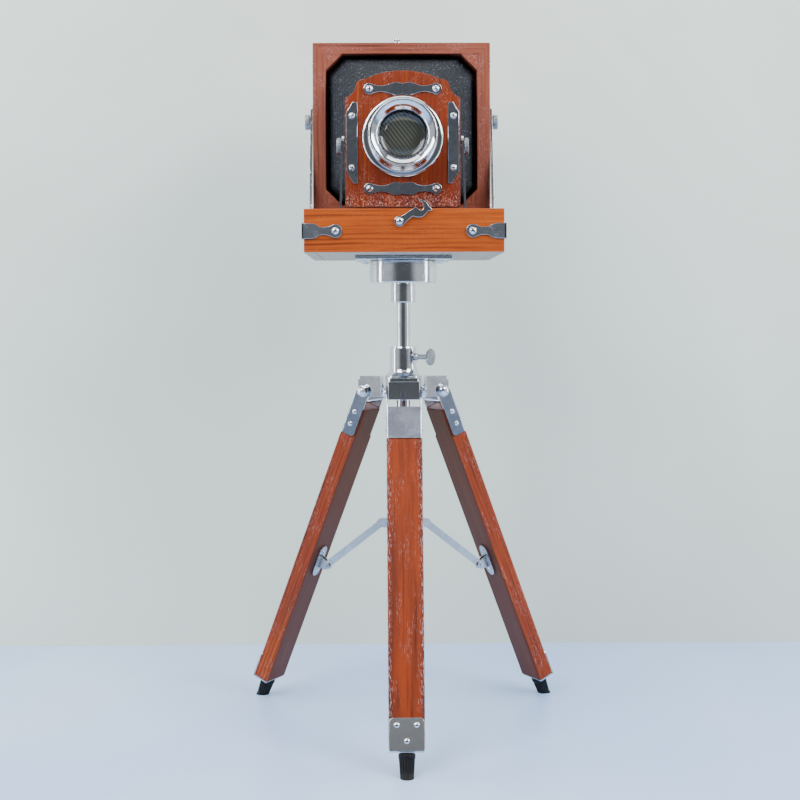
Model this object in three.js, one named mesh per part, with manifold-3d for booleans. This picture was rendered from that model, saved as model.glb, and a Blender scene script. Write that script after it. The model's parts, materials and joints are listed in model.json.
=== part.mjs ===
// A decorative wooden view camera with a drop bed, on a three-legged wooden stand.
// Millimetres, +Z up, the lens looks along -Y. The stand's column is the Z axis until
// the whole object is centred over the middle of its outer box at the end.
import * as THREE from 'three';
import { mergeVertices } from 'three/addons/utils/BufferGeometryUtils.js';
import Module from 'manifold-3d';

const wasm = await Module();
wasm.setup();

const deg = Math.PI / 180;

// ---- clearances ----
const seatGap = 0.3; // between pieces that rest on each other
const boreGap = 0.35; // round a shaft in its hole
const swingGap = 0.4; // beside a piece that turns

// ---- stand: driving dimensions ----
const hingeHeight = 246;
const hingeRadius = 27.5;
const footRadius = 130;
const legAngles = { front: -90, right: 30, left: 150 };
const legTopWidth = 25.6;
const legFootWidth = 24;
const legThickness = 13;
const sheet = 1.2; // steel sheet of straps, plates and lugs

const strapLength = 36;
const strapEyeRadius = 5.2;
const strapWindow = 12.5; // from the hinge to the top of the strap's outer plate
const boltRadius = 2.4;
const boltHeadRadius = 4;
const boltHeadHeight = 2.6;

const rubberLength = 15.8;
const rubberTopRadius = 5.7;
const rubberTipRadius = 4.6;
const footPlateHeight = 20;

const bracePinDrop = 142.2; // along the leg, from its hinge
const bracePinReach = 14.8; // inwards from the leg's middle
const bracketHalfWidth = 4.8;
const bracketReach = 8; // from the pin's height to the middle of each round end
const spreaderPinRadius = 19;
const spreaderDrop = 100; // from the hinge pins to the spreader's pins
const linkThickness = 1.8;
const linkEndRadius = 3.2;
const linkWidth = 5.2;
const pinRadius = 1.5;
const spreaderCoreRadius = 9;
const spreaderCoreHeight = 9;
const spreaderBore = 4;

const crownDrop = 4.5; // from the hinge pins to the crown's under side
const crownBlockHeight = 13;
const crownCapHeight = 2.6;
const crownArmReach = 33;
const crownHubRadius = 17;
const collarRadius = 9.75;
const collarFlareRadius = 14;
const collarFlareHeight = 7;
const collarHeight = 22;

const rodRadius = 4.85;
const rodTail = 15.5; // of the rod below the crown
const sleeveRadius = 9.3;
const sleeveRise = 70.5; // of the sleeve above the crown's under side
const sleeveHeight = 14;
const panRadius = 24.8;
const panHeight = 16.4;
const panBoreDepth = 8;

const thumbAngle = -30;
const thumbRise = 30.1; // of the screw above the crown's under side
const thumbShankRadius = 1.9;
const thumbShankEnd = 21.6;
const thumbHeadRadius = 6.2;
const thumbHeadThickness = 2.6;

// ---- camera: driving dimensions ----
const mountPlateSize = 70;
const mountPlateThickness = 2.6;
const bedSize = 139;
const bedHeight = 30.5;
const bedWall = 8;
const bedFloorThickness = 6;

const bodyWidth = 141;
const bodyHeight = 142;
const frameThickness = 10;
const openingSize = 120;
const openingChamfer = 13;
const openingRise = 13; // from the body's bottom to the opening
const shellDepth = 26;
const shellWall = 8;
const backThickness = 6;
const windowSize = 92;
const groundGlassThickness = 2.5;

const trackWidth = 60;
const trackLength = 118;
const trackThickness = 1.5;
const trackLip = 2;
const forkSheet = 1.6;
const forkFootDepth = 24;
const forkTopHalf = 43.4;
const forkFootHalf = 46.4;
const forkArmWidth = 9;
const forkSlotLength = 34;
const forkOverrun = 8; // of the fork's arms above the clamp knobs
const boardWidth = 85.4;
const boardThickness = 9;
const boardRise = 36.6; // of the lens board above the bed's under side
const boardShoulderRise = 80.8;
const boardHeight = 100.8;
const lensRise = 51.9; // of the lens above the board's bottom
const clampRise = 45.3;

const flangeRadius = 30;
const flangeThickness = 2.6;
const barrelRadius = 24;
const barrelLength = 25;
const rimRadius = 25;
const funnelMouth = 23.4;
const funnelDepth = 4.5;
const glassRadius = 17;
const lensBore = 17.3;
const boardHole = 20;

const frontKnobRadius = 6.3;
const frontKnobThickness = 3.2;
const knobShankRadius = 1.8;
const rearKnobRadius = 6;
const rearKnobThickness = 4;
const strutSheet = 1.6;
const strutWidth = 10;
const strutFootInset = 15.5; // from the bed's rear face
const strutFootRise = 14; // above the bed's under side
const strutTopDepth = 14.2; // behind the body's front face
const strutTopRise = 120;
const rearKnobShare = 0.92; // of the way up the strut

const trimThickness = 1;
const cornerStrapLength = 28.2;
const cornerStrapRise = 15; // of the corner straps' middle line above the bed's under side
const hookOffset = -3.2;
const hookRise = 21.6;
const hookThickness = 1.6;
const studRadius = 1.6;
const studHeadRadius = 2.7;
const studHeight = 3.4;

const bellowsFrontWidth = 70;
const bellowsFrontHeight = 84;
const bellowsRearSize = 117;
const bellowsWall = 1.6;

// ---- heights and depths that follow ----
const spreaderPinHeight = hingeHeight - spreaderDrop;
const crownBottom = hingeHeight - crownDrop;
const rodBottom = crownBottom - rodTail;
const thumbHeight = crownBottom + thumbRise;
const sleeveBottom = crownBottom + sleeveRise;
const splay = Math.atan2(footRadius - hingeRadius, hingeHeight);
const legLength = hingeHeight / Math.cos(splay);
const rubberTop = legLength - rubberLength;
const plateFold = rubberTop - seatGap - sheet; // under side of the wood, on the folded plate
const woodEnd = plateFold - seatGap;
const strapHalf = legTopWidth / 2;
const strapInner = strapHalf - sheet;
const neckHalf = strapInner - seatGap;
const armHalf = strapInner - seatGap;
const woodTop = strapWindow + 0.8;
const crownTop = crownBottom + crownBlockHeight + crownCapHeight;
const collarTop = crownTop + collarHeight;
const panBottom = sleeveBottom + sleeveHeight + swingGap;
const panTop = panBottom + panHeight;
const mountPlateBottom = panTop + seatGap;
const bedBottom = mountPlateBottom + mountPlateThickness + seatGap;
const bedTop = bedBottom + bedHeight;
const bedFloorTop = bedBottom + bedFloorThickness;
const bedHalf = bedSize / 2;
const bedInner = bedHalf - bedWall;
const bodyFront = bedHalf + seatGap;
const bodyBottom = bedTop + seatGap;
const bodyTop = bodyBottom + bodyHeight;
const bodyHalf = bodyWidth / 2;
const bodyMiddle = bodyBottom + bodyHeight / 2;
const cornerStrapTop = bedBottom + cornerStrapRise;
const hookPivot = { x: hookOffset, z: bedBottom + hookRise };
const boardBottom = bedBottom + boardRise;
const boardShoulder = boardBottom + boardShoulderRise;
const boardTop = boardBottom + boardHeight;
const lensHeight = boardBottom + lensRise;
const clampHeight = boardBottom + clampRise;
const strutFoot = { y: bedHalf - strutFootInset, z: bedBottom + strutFootRise };
const strutTop = { y: bodyFront + strutTopDepth, z: bedBottom + strutTopRise };
const shellFront = bodyFront + frameThickness + seatGap;
const backFront = shellFront + shellDepth + seatGap;
const openingBottom = bodyBottom + openingRise;
const openingMiddle = openingBottom + openingSize / 2;
const boardFront = -boardThickness / 2;
const boardHalf = boardWidth / 2;
const trackTop = bedFloorTop + seatGap + trackThickness;
const forkBottom = trackTop + seatGap;
const forkTop = clampHeight + forkOverrun;
const strutInner = Math.max(bodyHalf, bedHalf) + 0.8;
const strutOuter = strutInner + strutSheet;

// ---- finishes ----
function finish(color, roughness, metalness) {
  return new THREE.MeshStandardMaterial({ color, roughness, metalness });
}
const legWood = finish(0xa5502d, 0.4, 0);
const bedWood = finish(0xbe6937, 0.4, 0);
const boardWood = finish(0xaf5023, 0.45, 0);
const bodyWood = finish(0x96584a, 0.5, 0);
const nickel = finish(0xb8bcc4, 0.18, 1);
const steel = finish(0xa9b2bb, 0.35, 1);
const rubber = finish(0x141414, 0.8, 0);
const leather = finish(0x28303e, 0.6, 0);
const glass = finish(0x9aa39c, 0.08, 0);

// ---- solids ----
function solidOf(geometry) {
  const bare = geometry.clone();
  bare.deleteAttribute('normal');
  bare.deleteAttribute('uv');
  const merged = mergeVertices(bare, 1e-4);
  const vertProperties = new Float32Array(merged.attributes.position.array);
  const triVerts = new Uint32Array(merged.index.array);
  return new wasm.Manifold(new wasm.Mesh({ numProp: 3, vertProperties, triVerts }));
}

function geometryOf(solid) {
  const mesh = solid.getMesh();
  const geometry = new THREE.BufferGeometry();
  geometry.setAttribute('position', new THREE.BufferAttribute(mesh.vertProperties.slice(), 3));
  geometry.setIndex(new THREE.BufferAttribute(mesh.triVerts.slice(), 1));
  geometry.computeVertexNormals();
  return geometry;
}

function cut(body, ...tools) {
  const left = tools.reduce((rest, tool) => rest.subtract(solidOf(tool)), solidOf(body));
  return geometryOf(left);
}

function join(...pieces) {
  return geometryOf(pieces.map(solidOf).reduce((whole, piece) => whole.add(piece)));
}

// A box between two corners.
function block(x0, x1, y0, y1, z0, z1) {
  const box = new THREE.BoxGeometry(x1 - x0, y1 - y0, z1 - z0);
  return box.translate((x0 + x1) / 2, (y0 + y1) / 2, (z0 + z1) / 2);
}

// A solid of revolution about Z from [radius, height] points, listed up its outside.
function turned(points, segments = 24) {
  const profile = points.map(([radius, height]) => new THREE.Vector2(radius, height));
  return new THREE.LatheGeometry(profile, segments).rotateX(Math.PI / 2);
}

function disc(radius, z0, z1, segments = 24) {
  return turned([[0, z0], [radius, z0], [radius, z1], [0, z1]], segments);
}

// A low domed head standing on height z0.
function dome(radius, height, z0, segments = 14) {
  const points = [[0, z0], [radius, z0]];
  for (let step = 1; step < 3; step += 1) {
    const angle = (step / 3) * 90 * deg;
    points.push([radius * Math.cos(angle), z0 + height * Math.sin(angle)]);
  }
  points.push([0, z0 + height]);
  return turned(points, segments);
}

const alongX = (geometry) => geometry.rotateY(Math.PI / 2);
const alongMinusX = (geometry) => geometry.rotateY(-Math.PI / 2);
const alongY = (geometry) => geometry.rotateX(-Math.PI / 2);
const alongMinusY = (geometry) => geometry.rotateX(Math.PI / 2);

function extruded(shape, thickness, curveSegments = 4) {
  return new THREE.ExtrudeGeometry(shape, { depth: thickness, bevelEnabled: false, curveSegments });
}

// A plate drawn in X and Z, lying between y0 and y0 + thickness.
function uprightPlate(shape, y0, thickness, curveSegments = 4) {
  const plate = extruded(shape, thickness, curveSegments).rotateX(Math.PI / 2);
  return plate.translate(0, y0 + thickness, 0);
}

function outline(points) {
  return new THREE.Shape(points.map(([x, z]) => new THREE.Vector2(x, z)));
}

// A square with cut corners, centred at cx, cz.
function octagon(width, height, chamfer, cz) {
  const a = width / 2;
  const b = height / 2;
  const points = [[a, chamfer - b], [a, b - chamfer], [a - chamfer, b], [chamfer - a, b]];
  const mirrored = points.map(([x, z]) => [-x, -z]);
  return [...points, ...mirrored].map(([x, z]) => [x, z + cz]);
}

// ---- scene graph ----
const whole = new THREE.Group();

function put(group, name, geometry, material) {
  const mesh = new THREE.Mesh(geometry, material);
  mesh.name = name;
  group.add(mesh);
  return mesh;
}

// ---- the stand's crown, with an arm for each leg and the column's collar ----
function crownGeometry() {
  const blockTop = crownBottom + crownBlockHeight;
  const pieces = [disc(crownHubRadius, crownBottom, crownTop, 28)];
  for (const angle of Object.values(legAngles)) {
    const arm = block(0, crownArmReach, -armHalf, armHalf, crownBottom, blockTop);
    const cap = block(0, crownArmReach - 1, 1 - armHalf, armHalf - 1, blockTop - 0.5, crownTop);
    pieces.push(arm.rotateZ(angle * deg));
    pieces.push(cap.rotateZ(angle * deg));
  }
  const flare = [
    [0, crownTop - 0.5],
    [collarFlareRadius, crownTop - 0.5],
    [collarFlareRadius, crownTop + 0.6],
  ];
  for (let step = 1; step <= 4; step += 1) {
    const angle = (step / 4) * 90 * deg;
    const radius = collarFlareRadius - (collarFlareRadius - collarRadius) * Math.sin(angle);
    flare.push([radius, crownTop + 0.6 + collarFlareHeight * (1 - Math.cos(angle))]);
  }
  flare.push([collarRadius, collarTop - 0.6], [collarRadius - 0.6, collarTop], [0, collarTop]);
  pieces.push(turned(flare, 28));
  const tools = [disc(rodRadius + boreGap, crownBottom - 1, collarTop + 1, 24)];
  for (const angle of Object.values(legAngles)) {
    const bore = disc(boltRadius + boreGap, -armHalf - 1, armHalf + 1, 14).rotateX(Math.PI / 2);
    tools.push(bore.translate(hingeRadius, 0, hingeHeight).rotateZ(angle * deg));
  }
  return cut(join(...pieces), ...tools);
}
put(whole, 'tripod_crown', crownGeometry(), nickel);

// ---- clamp screw of the column, along its own +Z ----
const thumbGroup = new THREE.Group();
thumbGroup.position.z = thumbHeight;
thumbGroup.rotation.set(0, Math.PI / 2, 0);
const thumbTurn = new THREE.Group();
thumbTurn.rotation.z = thumbAngle * deg;
thumbTurn.add(thumbGroup);
whole.add(thumbTurn);
const thumbHeadTop = thumbShankEnd + thumbHeadThickness;
const thumbProfile = [
  [0, collarRadius + seatGap],
  [thumbShankRadius + 0.7, collarRadius + seatGap],
  [thumbShankRadius + 0.7, collarRadius + seatGap + 2],
  [thumbShankRadius, collarRadius + seatGap + 2.6],
  [thumbShankRadius, thumbShankEnd],
  [thumbHeadRadius - 0.5, thumbShankEnd],
  [thumbHeadRadius, thumbShankEnd + 0.5],
  [thumbHeadRadius, thumbHeadTop - 0.5],
  [thumbHeadRadius - 0.5, thumbHeadTop],
  [0, thumbHeadTop],
];
put(thumbGroup, 'column_thumb_screw', turned(thumbProfile, 20), nickel);

// ---- legs: in a leg's own frame X points outwards, Z up along it, the hinge at its origin ----
const half = legThickness / 2;
const pinInset = -bracePinReach;

function legGeometry() {
  const footHalf = legFootWidth / 2;
  const topHalf = legTopWidth / 2;
  const shoulder = -strapLength - seatGap;
  const lath = outline([
    [-topHalf, shoulder],
    [-footHalf, -woodEnd],
    [footHalf, -woodEnd],
    [topHalf, shoulder],
  ]);
  const body = extruded(lath, legThickness).rotateX(Math.PI / 2).translate(0, half, 0);
  body.rotateZ(Math.PI / 2);
  const neckFace = half - sheet - seatGap;
  const neck = block(-half, neckFace, -neckHalf, neckHalf, shoulder - 1, -woodTop);
  return join(body, neck);
}

function strapGeometry() {
  const ear = new THREE.Shape();
  const corner = 3;
  ear.moveTo(half, -strapLength);
  ear.lineTo(half, -strapWindow);
  ear.lineTo(strapEyeRadius, 0);
  ear.absarc(0, 0, strapEyeRadius, 0, Math.PI, false);
  ear.lineTo(-strapEyeRadius, -strapLength + corner);
  ear.absarc(corner - strapEyeRadius, corner - strapLength, corner, Math.PI, 1.5 * Math.PI, false);
  ear.lineTo(half, -strapLength);
  const one = uprightPlate(ear, strapInner, sheet);
  const other = uprightPlate(ear, -strapHalf, sheet);
  const plate = block(half - sheet, half, -strapHalf, strapHalf, -strapLength, -strapWindow);
  const bore = disc(boltRadius + boreGap, -strapHalf - 1, strapHalf + 1, 14).rotateX(Math.PI / 2);
  return cut(join(one, other, plate), bore);
}

function boltGeometry() {
  const seat = strapHalf + seatGap;
  const shank = disc(boltRadius, -seat - 0.5, seat + 0.5, 14);
  const head = dome(boltHeadRadius, boltHeadHeight, seat);
  const tail = dome(boltHeadRadius, boltHeadHeight, seat).rotateX(Math.PI);
  return alongMinusY(join(shank, head, tail));
}

function footPlateGeometry() {
  const inner = half + seatGap;
  const wide = legFootWidth / 2 - 0.4;
  const under = -plateFold - sheet;
  const face = block(inner, inner + sheet, -wide, wide, under, -plateFold + footPlateHeight);
  const fold = block(-half + 1, inner + 0.1, -wide, wide, under, -plateFold);
  return join(face, fold);
}

function rubberGeometry(toLeg) {
  const reach = legLength + rubberTipRadius;
  const cone = turned([
    [0, -reach],
    [rubberTipRadius, -reach],
    [rubberTipRadius, -legLength],
    [rubberTopRadius - 0.3, -rubberTop - 3],
    [rubberTopRadius, -rubberTop - 2],
    [rubberTopRadius, -rubberTop - seatGap],
    [0, -rubberTop - seatGap],
  ], 18);
  const far = footRadius * 2;
  const ground = block(-far, far, -far, far, -footRadius, 0);
  return cut(cone, ground.applyMatrix4(toLeg));
}

function bracketGeometry() {
  const base = -half - seatGap;
  const lugInner = linkThickness / 2 + swingGap;
  const lugOuter = lugInner + sheet;
  const lug = new THREE.Shape();
  lug.moveTo(base - 0.3, -bracePinDrop + linkEndRadius + 1.5);
  lug.lineTo(pinInset, -bracePinDrop + linkEndRadius);
  lug.absarc(pinInset, -bracePinDrop, linkEndRadius, Math.PI / 2, 1.5 * Math.PI, false);
  lug.lineTo(base - 0.3, -bracePinDrop - linkEndRadius - 1.5);
  const padShape = new THREE.Shape();
  padShape.absarc(0, bracketReach, bracketHalfWidth, 0, Math.PI, false);
  padShape.absarc(0, -bracketReach, bracketHalfWidth, Math.PI, 2 * Math.PI, false);
  const pad = uprightPlate(padShape, 0, sheet).rotateZ(Math.PI / 2).translate(base, 0, -bracePinDrop);
  const pin = disc(pinRadius, -lugOuter - 0.8, lugOuter + 0.8, 12).rotateX(Math.PI / 2);
  pin.translate(pinInset, 0, -bracePinDrop);
  return join(pad, uprightPlate(lug, lugInner, sheet), uprightPlate(lug, -lugOuter, sheet), pin);
}

// A brace link lies along its own X from the pin at its origin.
function linkGeometry(length) {
  const bar = new THREE.Shape();
  const neck = Math.asin(linkWidth / 2 / linkEndRadius);
  bar.absarc(0, 0, linkEndRadius, neck, 2 * Math.PI - neck, false);
  bar.absarc(length, 0, linkEndRadius, neck - Math.PI, Math.PI - neck, false);
  const link = uprightPlate(bar, -linkThickness / 2, linkThickness, 6);
  const bore = disc(pinRadius + boreGap, -linkThickness, linkThickness, 12).rotateX(Math.PI / 2);
  return cut(link, bore, bore.clone().translate(length, 0, 0));
}

const pinAt = new THREE.Vector3(pinInset, 0, -bracePinDrop);
pinAt.applyAxisAngle(new THREE.Vector3(0, 1, 0), -splay);
const linkRun = spreaderPinRadius - (hingeRadius + pinAt.x);
const linkRise = spreaderPinHeight - (hingeHeight + pinAt.z);
const linkLength = Math.hypot(linkRun, linkRise);
const linkSlope = Math.atan2(linkRise, linkRun);

for (const [side, angle] of Object.entries(legAngles)) {
  const around = new THREE.Group();
  around.rotation.z = angle * deg;
  whole.add(around);
  const leg = new THREE.Group();
  leg.position.set(hingeRadius, 0, hingeHeight);
  leg.rotation.y = -splay;
  around.add(leg);
  const toLeg = new THREE.Matrix4().makeRotationY(-splay).setPosition(hingeRadius, 0, hingeHeight).invert();
  put(leg, `leg_${side}`, legGeometry(), legWood);
  put(leg, `leg_strap_${side}`, strapGeometry(), steel);
  put(leg, `hinge_bolt_${side}`, boltGeometry(), nickel);
  put(leg, `foot_plate_${side}`, footPlateGeometry(), steel);
  put(leg, `rubber_foot_${side}`, rubberGeometry(toLeg), rubber);
  put(leg, `brace_bracket_${side}`, bracketGeometry(), steel);
  const link = put(around, `brace_link_${side}`, linkGeometry(linkLength), steel);
  link.position.set(hingeRadius + pinAt.x, 0, hingeHeight + pinAt.z);
  link.rotation.y = -linkSlope;
}

// ---- spreader hub ----
function spreaderGeometry() {
  const lugInner = linkThickness / 2 + swingGap;
  const pieces = [disc(spreaderCoreRadius, -spreaderCoreHeight / 2, spreaderCoreHeight / 2, 20)];
  const lug = new THREE.Shape();
  lug.moveTo(spreaderBore + 1.5, -linkEndRadius - 0.4);
  lug.lineTo(spreaderPinRadius, -linkEndRadius);
  lug.absarc(spreaderPinRadius, 0, linkEndRadius, -Math.PI / 2, Math.PI / 2, false);
  lug.lineTo(spreaderBore + 1.5, linkEndRadius + 0.4);
  for (const angle of Object.values(legAngles)) {
    pieces.push(uprightPlate(lug, lugInner, sheet).rotateZ(angle * deg));
    pieces.push(uprightPlate(lug, -lugInner - sheet, sheet).rotateZ(angle * deg));
  }
  const bore = disc(spreaderBore, -spreaderCoreHeight, spreaderCoreHeight, 16);
  return cut(join(...pieces), bore);
}
put(whole, 'spreader_hub', spreaderGeometry(), steel).position.z = spreaderPinHeight;

// ---- column and pan head ----
const rodTop = panBottom + panBoreDepth - 1;
const rodProfile = [
  [0, rodBottom],
  [rodRadius - 0.8, rodBottom],
  [rodRadius, rodBottom + 0.8],
  [rodRadius, rodTop - 0.6],
  [rodRadius - 0.6, rodTop],
  [0, rodTop],
];
put(whole, 'column_rod', turned(rodProfile, 24), nickel);
const sleeveBlank = turned([
  [0, sleeveBottom],
  [sleeveRadius - 0.6, sleeveBottom],
  [sleeveRadius, sleeveBottom + 0.6],
  [sleeveRadius, sleeveBottom + sleeveHeight],
  [0, sleeveBottom + sleeveHeight],
], 24);
const sleeveBore = disc(rodRadius + seatGap, sleeveBottom - 1, sleeveBottom + sleeveHeight + 1, 24);
put(whole, 'column_sleeve', cut(sleeveBlank, sleeveBore), nickel);
const panBlank = turned([
  [0, panBottom],
  [panRadius - 0.8, panBottom],
  [panRadius, panBottom + 0.8],
  [panRadius, panTop - 0.6],
  [panRadius - 0.6, panTop],
  [0, panTop],
], 36);
const panBore = disc(rodRadius + boreGap, panBottom - 1, panBottom + panBoreDepth, 24);
put(whole, 'pan_head', cut(panBlank, panBore), nickel);
const plateHalf = mountPlateSize / 2;
const plateTop = mountPlateBottom + mountPlateThickness;
const mountPlate = block(-plateHalf, plateHalf, -plateHalf, plateHalf, mountPlateBottom, plateTop);
put(whole, 'mount_plate', mountPlate, steel);

// ---- bed: a floor inside four boards ----
const floorHalf = bedInner - seatGap;
const floorBlock = block(-floorHalf, floorHalf, -floorHalf, floorHalf, bedBottom, bedFloorTop);
put(whole, 'bed_floor', floorBlock, bedWood);
const frontBoard = block(-bedHalf, bedHalf, -bedHalf, -bedInner, bedBottom, bedTop);
const rearBoard = block(-bedHalf, bedHalf, bedInner, bedHalf, bedBottom, bedTop);
const leftBoard = block(-bedHalf, -bedInner, -floorHalf, floorHalf, bedBottom, bedTop);
const rightBoard = block(bedInner, bedHalf, -floorHalf, floorHalf, bedBottom, bedTop);
put(whole, 'bed_front_board', frontBoard, bedWood);
put(whole, 'bed_rear_board', rearBoard, bedWood);
put(whole, 'bed_left_board', leftBoard, bedWood);
put(whole, 'bed_right_board', rightBoard, bedWood);

// ---- corner straps: a broad end on the corner, a waist and a round eye ----
function cornerStrapShape() {
  const broad = 5.4;
  const waist = 2.6;
  const eye = 4.8;
  const eyeAt = cornerStrapLength - eye;
  const shape = new THREE.Shape();
  shape.moveTo(0, -broad);
  shape.lineTo(7, -broad);
  shape.quadraticCurveTo(12, -waist, 15, -waist);
  shape.quadraticCurveTo(18, -waist, eyeAt - 3, -eye * 0.8);
  shape.absarc(eyeAt, 0, eye, -2.21, 2.21, false);
  shape.quadraticCurveTo(18, waist, 15, waist);
  shape.quadraticCurveTo(12, waist, 7, broad);
  shape.lineTo(0, broad);
  return shape;
}

function cornerStrapGeometry() {
  const inner = bedHalf + seatGap;
  const outer = inner + sheet;
  const face = uprightPlate(cornerStrapShape(), 0, sheet).translate(-outer, -outer, 0);
  const side = uprightPlate(cornerStrapShape(), 0, sheet).rotateZ(Math.PI / 2);
  side.translate(sheet - outer, -outer, 0);
  return join(face, side);
}
const leftStrap = cornerStrapGeometry().translate(0, 0, cornerStrapTop);
const rightStrap = leftStrap.clone().scale(-1, 1, 1);
rightStrap.setIndex(Array.from(rightStrap.index.array).reverse());
put(whole, 'corner_strap_left', leftStrap, steel);
put(whole, 'corner_strap_right', rightStrap, steel);

// ---- latch hook on the bed's front, turning on its screw ----
function hookGeometry() {
  const shape = new THREE.Shape();
  shape.absarc(0, 0, 3.6, 75 * deg, 335 * deg, false);
  shape.quadraticCurveTo(7, 2.4, 9.5, 3.4);
  shape.quadraticCurveTo(13.5, 1.6, 16.6, 3.4);
  shape.quadraticCurveTo(18.6, 5, 19.6, 6.9);
  shape.lineTo(22.6, 7.4);
  shape.quadraticCurveTo(22.8, 8.8, 20.4, 10.4);
  shape.quadraticCurveTo(19, 14, 13.4, 15.6);
  shape.quadraticCurveTo(12.4, 14.6, 14.6, 13.8);
  shape.quadraticCurveTo(17.6, 11.4, 16.6, 8.8);
  shape.quadraticCurveTo(15, 6.6, 13.4, 8.4);
  shape.lineTo(11.2, 10);
  shape.lineTo(2, 4);
  const plate = uprightPlate(shape, -hookThickness, hookThickness, 5);
  const head = alongMinusY(dome(2.6, 1.6, hookThickness - 0.1));
  return join(plate, head);
}
const hook = put(whole, 'latch_hook', hookGeometry(), nickel);
hook.position.set(hookPivot.x, -bedHalf - seatGap, hookPivot.z);

// ---- focusing track on the floor ----
const trackHalf = trackWidth / 2;
const trackBase = bedFloorTop + seatGap;
const trackPlate = block(-trackHalf, trackHalf, -trackLength / 2, trackLength / 2, trackBase, trackTop);
const trackSlot = block(-4, 4, -trackLength / 2 + 10, trackLength / 2 - 10, trackBase - 1, trackTop + 1);
const lipTop = trackTop + trackLip;
const leftLip = block(-trackHalf, sheet - trackHalf, -trackLength / 2, trackLength / 2, trackBase, lipTop);
const rightLip = block(trackHalf - sheet, trackHalf, -trackLength / 2, trackLength / 2, trackBase, lipTop);
put(whole, 'focus_track', cut(join(trackPlate, leftLip, rightLip), trackSlot), nickel);

// ---- front standard: a sprung-steel fork that holds the lens board by two clamp knobs ----
function forkGeometry() {
  const runnerHalf = trackHalf - sheet - swingGap;
  const footTop = lipTop + swingGap + forkSheet;
  const footHalf = forkFootDepth / 2;
  const armFoot = footTop - forkSheet;
  const runner = block(-runnerHalf, runnerHalf, -footHalf, footHalf, forkBottom, footTop);
  const cross = block(-forkFootHalf, forkFootHalf, -footHalf, footHalf, armFoot, footTop);
  const lean = (forkFootHalf - forkTopHalf) / (forkTop - footTop);
  const across = forkFootHalf * 2;
  const pieces = [runner, cross];
  const footX = forkFootHalf + lean * forkSheet;
  for (const side of [-1, 1]) {
    const arm = outline([
      [side * footX, armFoot],
      [side * (footX + forkSheet), armFoot],
      [side * (forkTopHalf + forkSheet), forkTop],
      [side * forkTopHalf, forkTop],
    ]);
    const strip = uprightPlate(arm, -forkArmWidth / 2, forkArmWidth);
    const topEnd = forkTop - forkArmWidth / 2;
    const rounding = alongX(disc(forkArmWidth / 2, -across, across, 24)).translate(0, 0, topEnd);
    const below = block(-across, across, -forkArmWidth, forkArmWidth, armFoot - 1, topEnd);
    const rounded = solidOf(strip).intersect(solidOf(rounding).add(solidOf(below)));
    pieces.push(geometryOf(rounded));
    const web = outline([
      [side * (footX - 8), footTop - 0.5],
      [side * (footX + 0.8), footTop - 0.5],
      [side * (footX + 0.8 - lean * 8), footTop + 8],
    ]);
    pieces.push(uprightPlate(web, -forkArmWidth / 2, forkArmWidth));
  }
  const slotHalf = knobShankRadius + swingGap;
  const slotTop = clampHeight + slotHalf + 1;
  const slot = block(-across, across, -slotHalf, slotHalf, slotTop - forkSlotLength, slotTop);
  return cut(join(...pieces), slot);
}
put(whole, 'front_fork', forkGeometry(), nickel);

function boardShape() {
  const shape = new THREE.Shape();
  const corner = 1.2;
  shape.moveTo(-boardHalf + corner, boardBottom);
  shape.lineTo(boardHalf - corner, boardBottom);
  shape.lineTo(boardHalf, boardBottom + corner);
  shape.lineTo(boardHalf, boardShoulder);
  shape.quadraticCurveTo(boardHalf - 7.4, boardShoulder + 2.4, boardHalf - 8.2, boardShoulder + 9.8);
  shape.quadraticCurveTo(boardHalf - 9.6, boardTop - 6.4, boardHalf - 15.7, boardTop - 6);
  shape.quadraticCurveTo(boardHalf * 0.34, boardTop, 0, boardTop);
  shape.quadraticCurveTo(-boardHalf * 0.34, boardTop, 15.7 - boardHalf, boardTop - 6);
  shape.quadraticCurveTo(9.6 - boardHalf, boardTop - 6.4, 8.2 - boardHalf, boardShoulder + 9.8);
  shape.quadraticCurveTo(7.4 - boardHalf, boardShoulder + 2.4, -boardHalf, boardShoulder);
  shape.lineTo(-boardHalf, boardBottom + corner);
  const hole = new THREE.Path();
  hole.absarc(0, lensHeight, boardHole, 0, 2 * Math.PI, true);
  shape.holes.push(hole);
  return shape;
}
put(whole, 'lens_board', uprightPlate(boardShape(), boardFront, boardThickness, 12), boardWood);

// ---- wavy trim plates above and below the lens: round eyes, waists and a broad middle ----
function wavyTrimShape(length, middle, waist, eye) {
  const reach = length / 2 - eye;
  const waistAt = reach * 0.62;
  const shape = new THREE.Shape();
  const turn = 0.9; // where the waist's edge meets the eye, in radians
  shape.moveTo(-waistAt, -waist);
  shape.bezierCurveTo(-waistAt * 0.7, -waist, -waistAt * 0.6, -middle, 0, -middle);
  shape.bezierCurveTo(waistAt * 0.6, -middle, waistAt * 0.7, -waist, waistAt, -waist);
  shape.lineTo(reach - eye * Math.cos(turn), -eye * Math.sin(turn));
  shape.absarc(reach, 0, eye, Math.PI + turn, Math.PI - turn, false);
  shape.lineTo(waistAt, waist);
  shape.bezierCurveTo(waistAt * 0.7, waist, waistAt * 0.6, middle, 0, middle);
  shape.bezierCurveTo(-waistAt * 0.6, middle, -waistAt * 0.7, waist, -waistAt, waist);
  shape.lineTo(-reach + eye * Math.cos(turn), eye * Math.sin(turn));
  shape.absarc(-reach, 0, eye, turn, -turn, false);
  return shape;
}
const trimLength = 57;
const trimMiddle = 4.4;
const trimWaist = 2.7;
const trimEye = 5;
const trimFront = boardFront - seatGap - trimThickness;
const trimRise = flangeRadius + trimMiddle + 0.9;
const trimDrop = 38.3;
const trimHeights = {
  board_trim_top: lensHeight + trimRise,
  board_trim_bottom: lensHeight - trimDrop,
};
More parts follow.
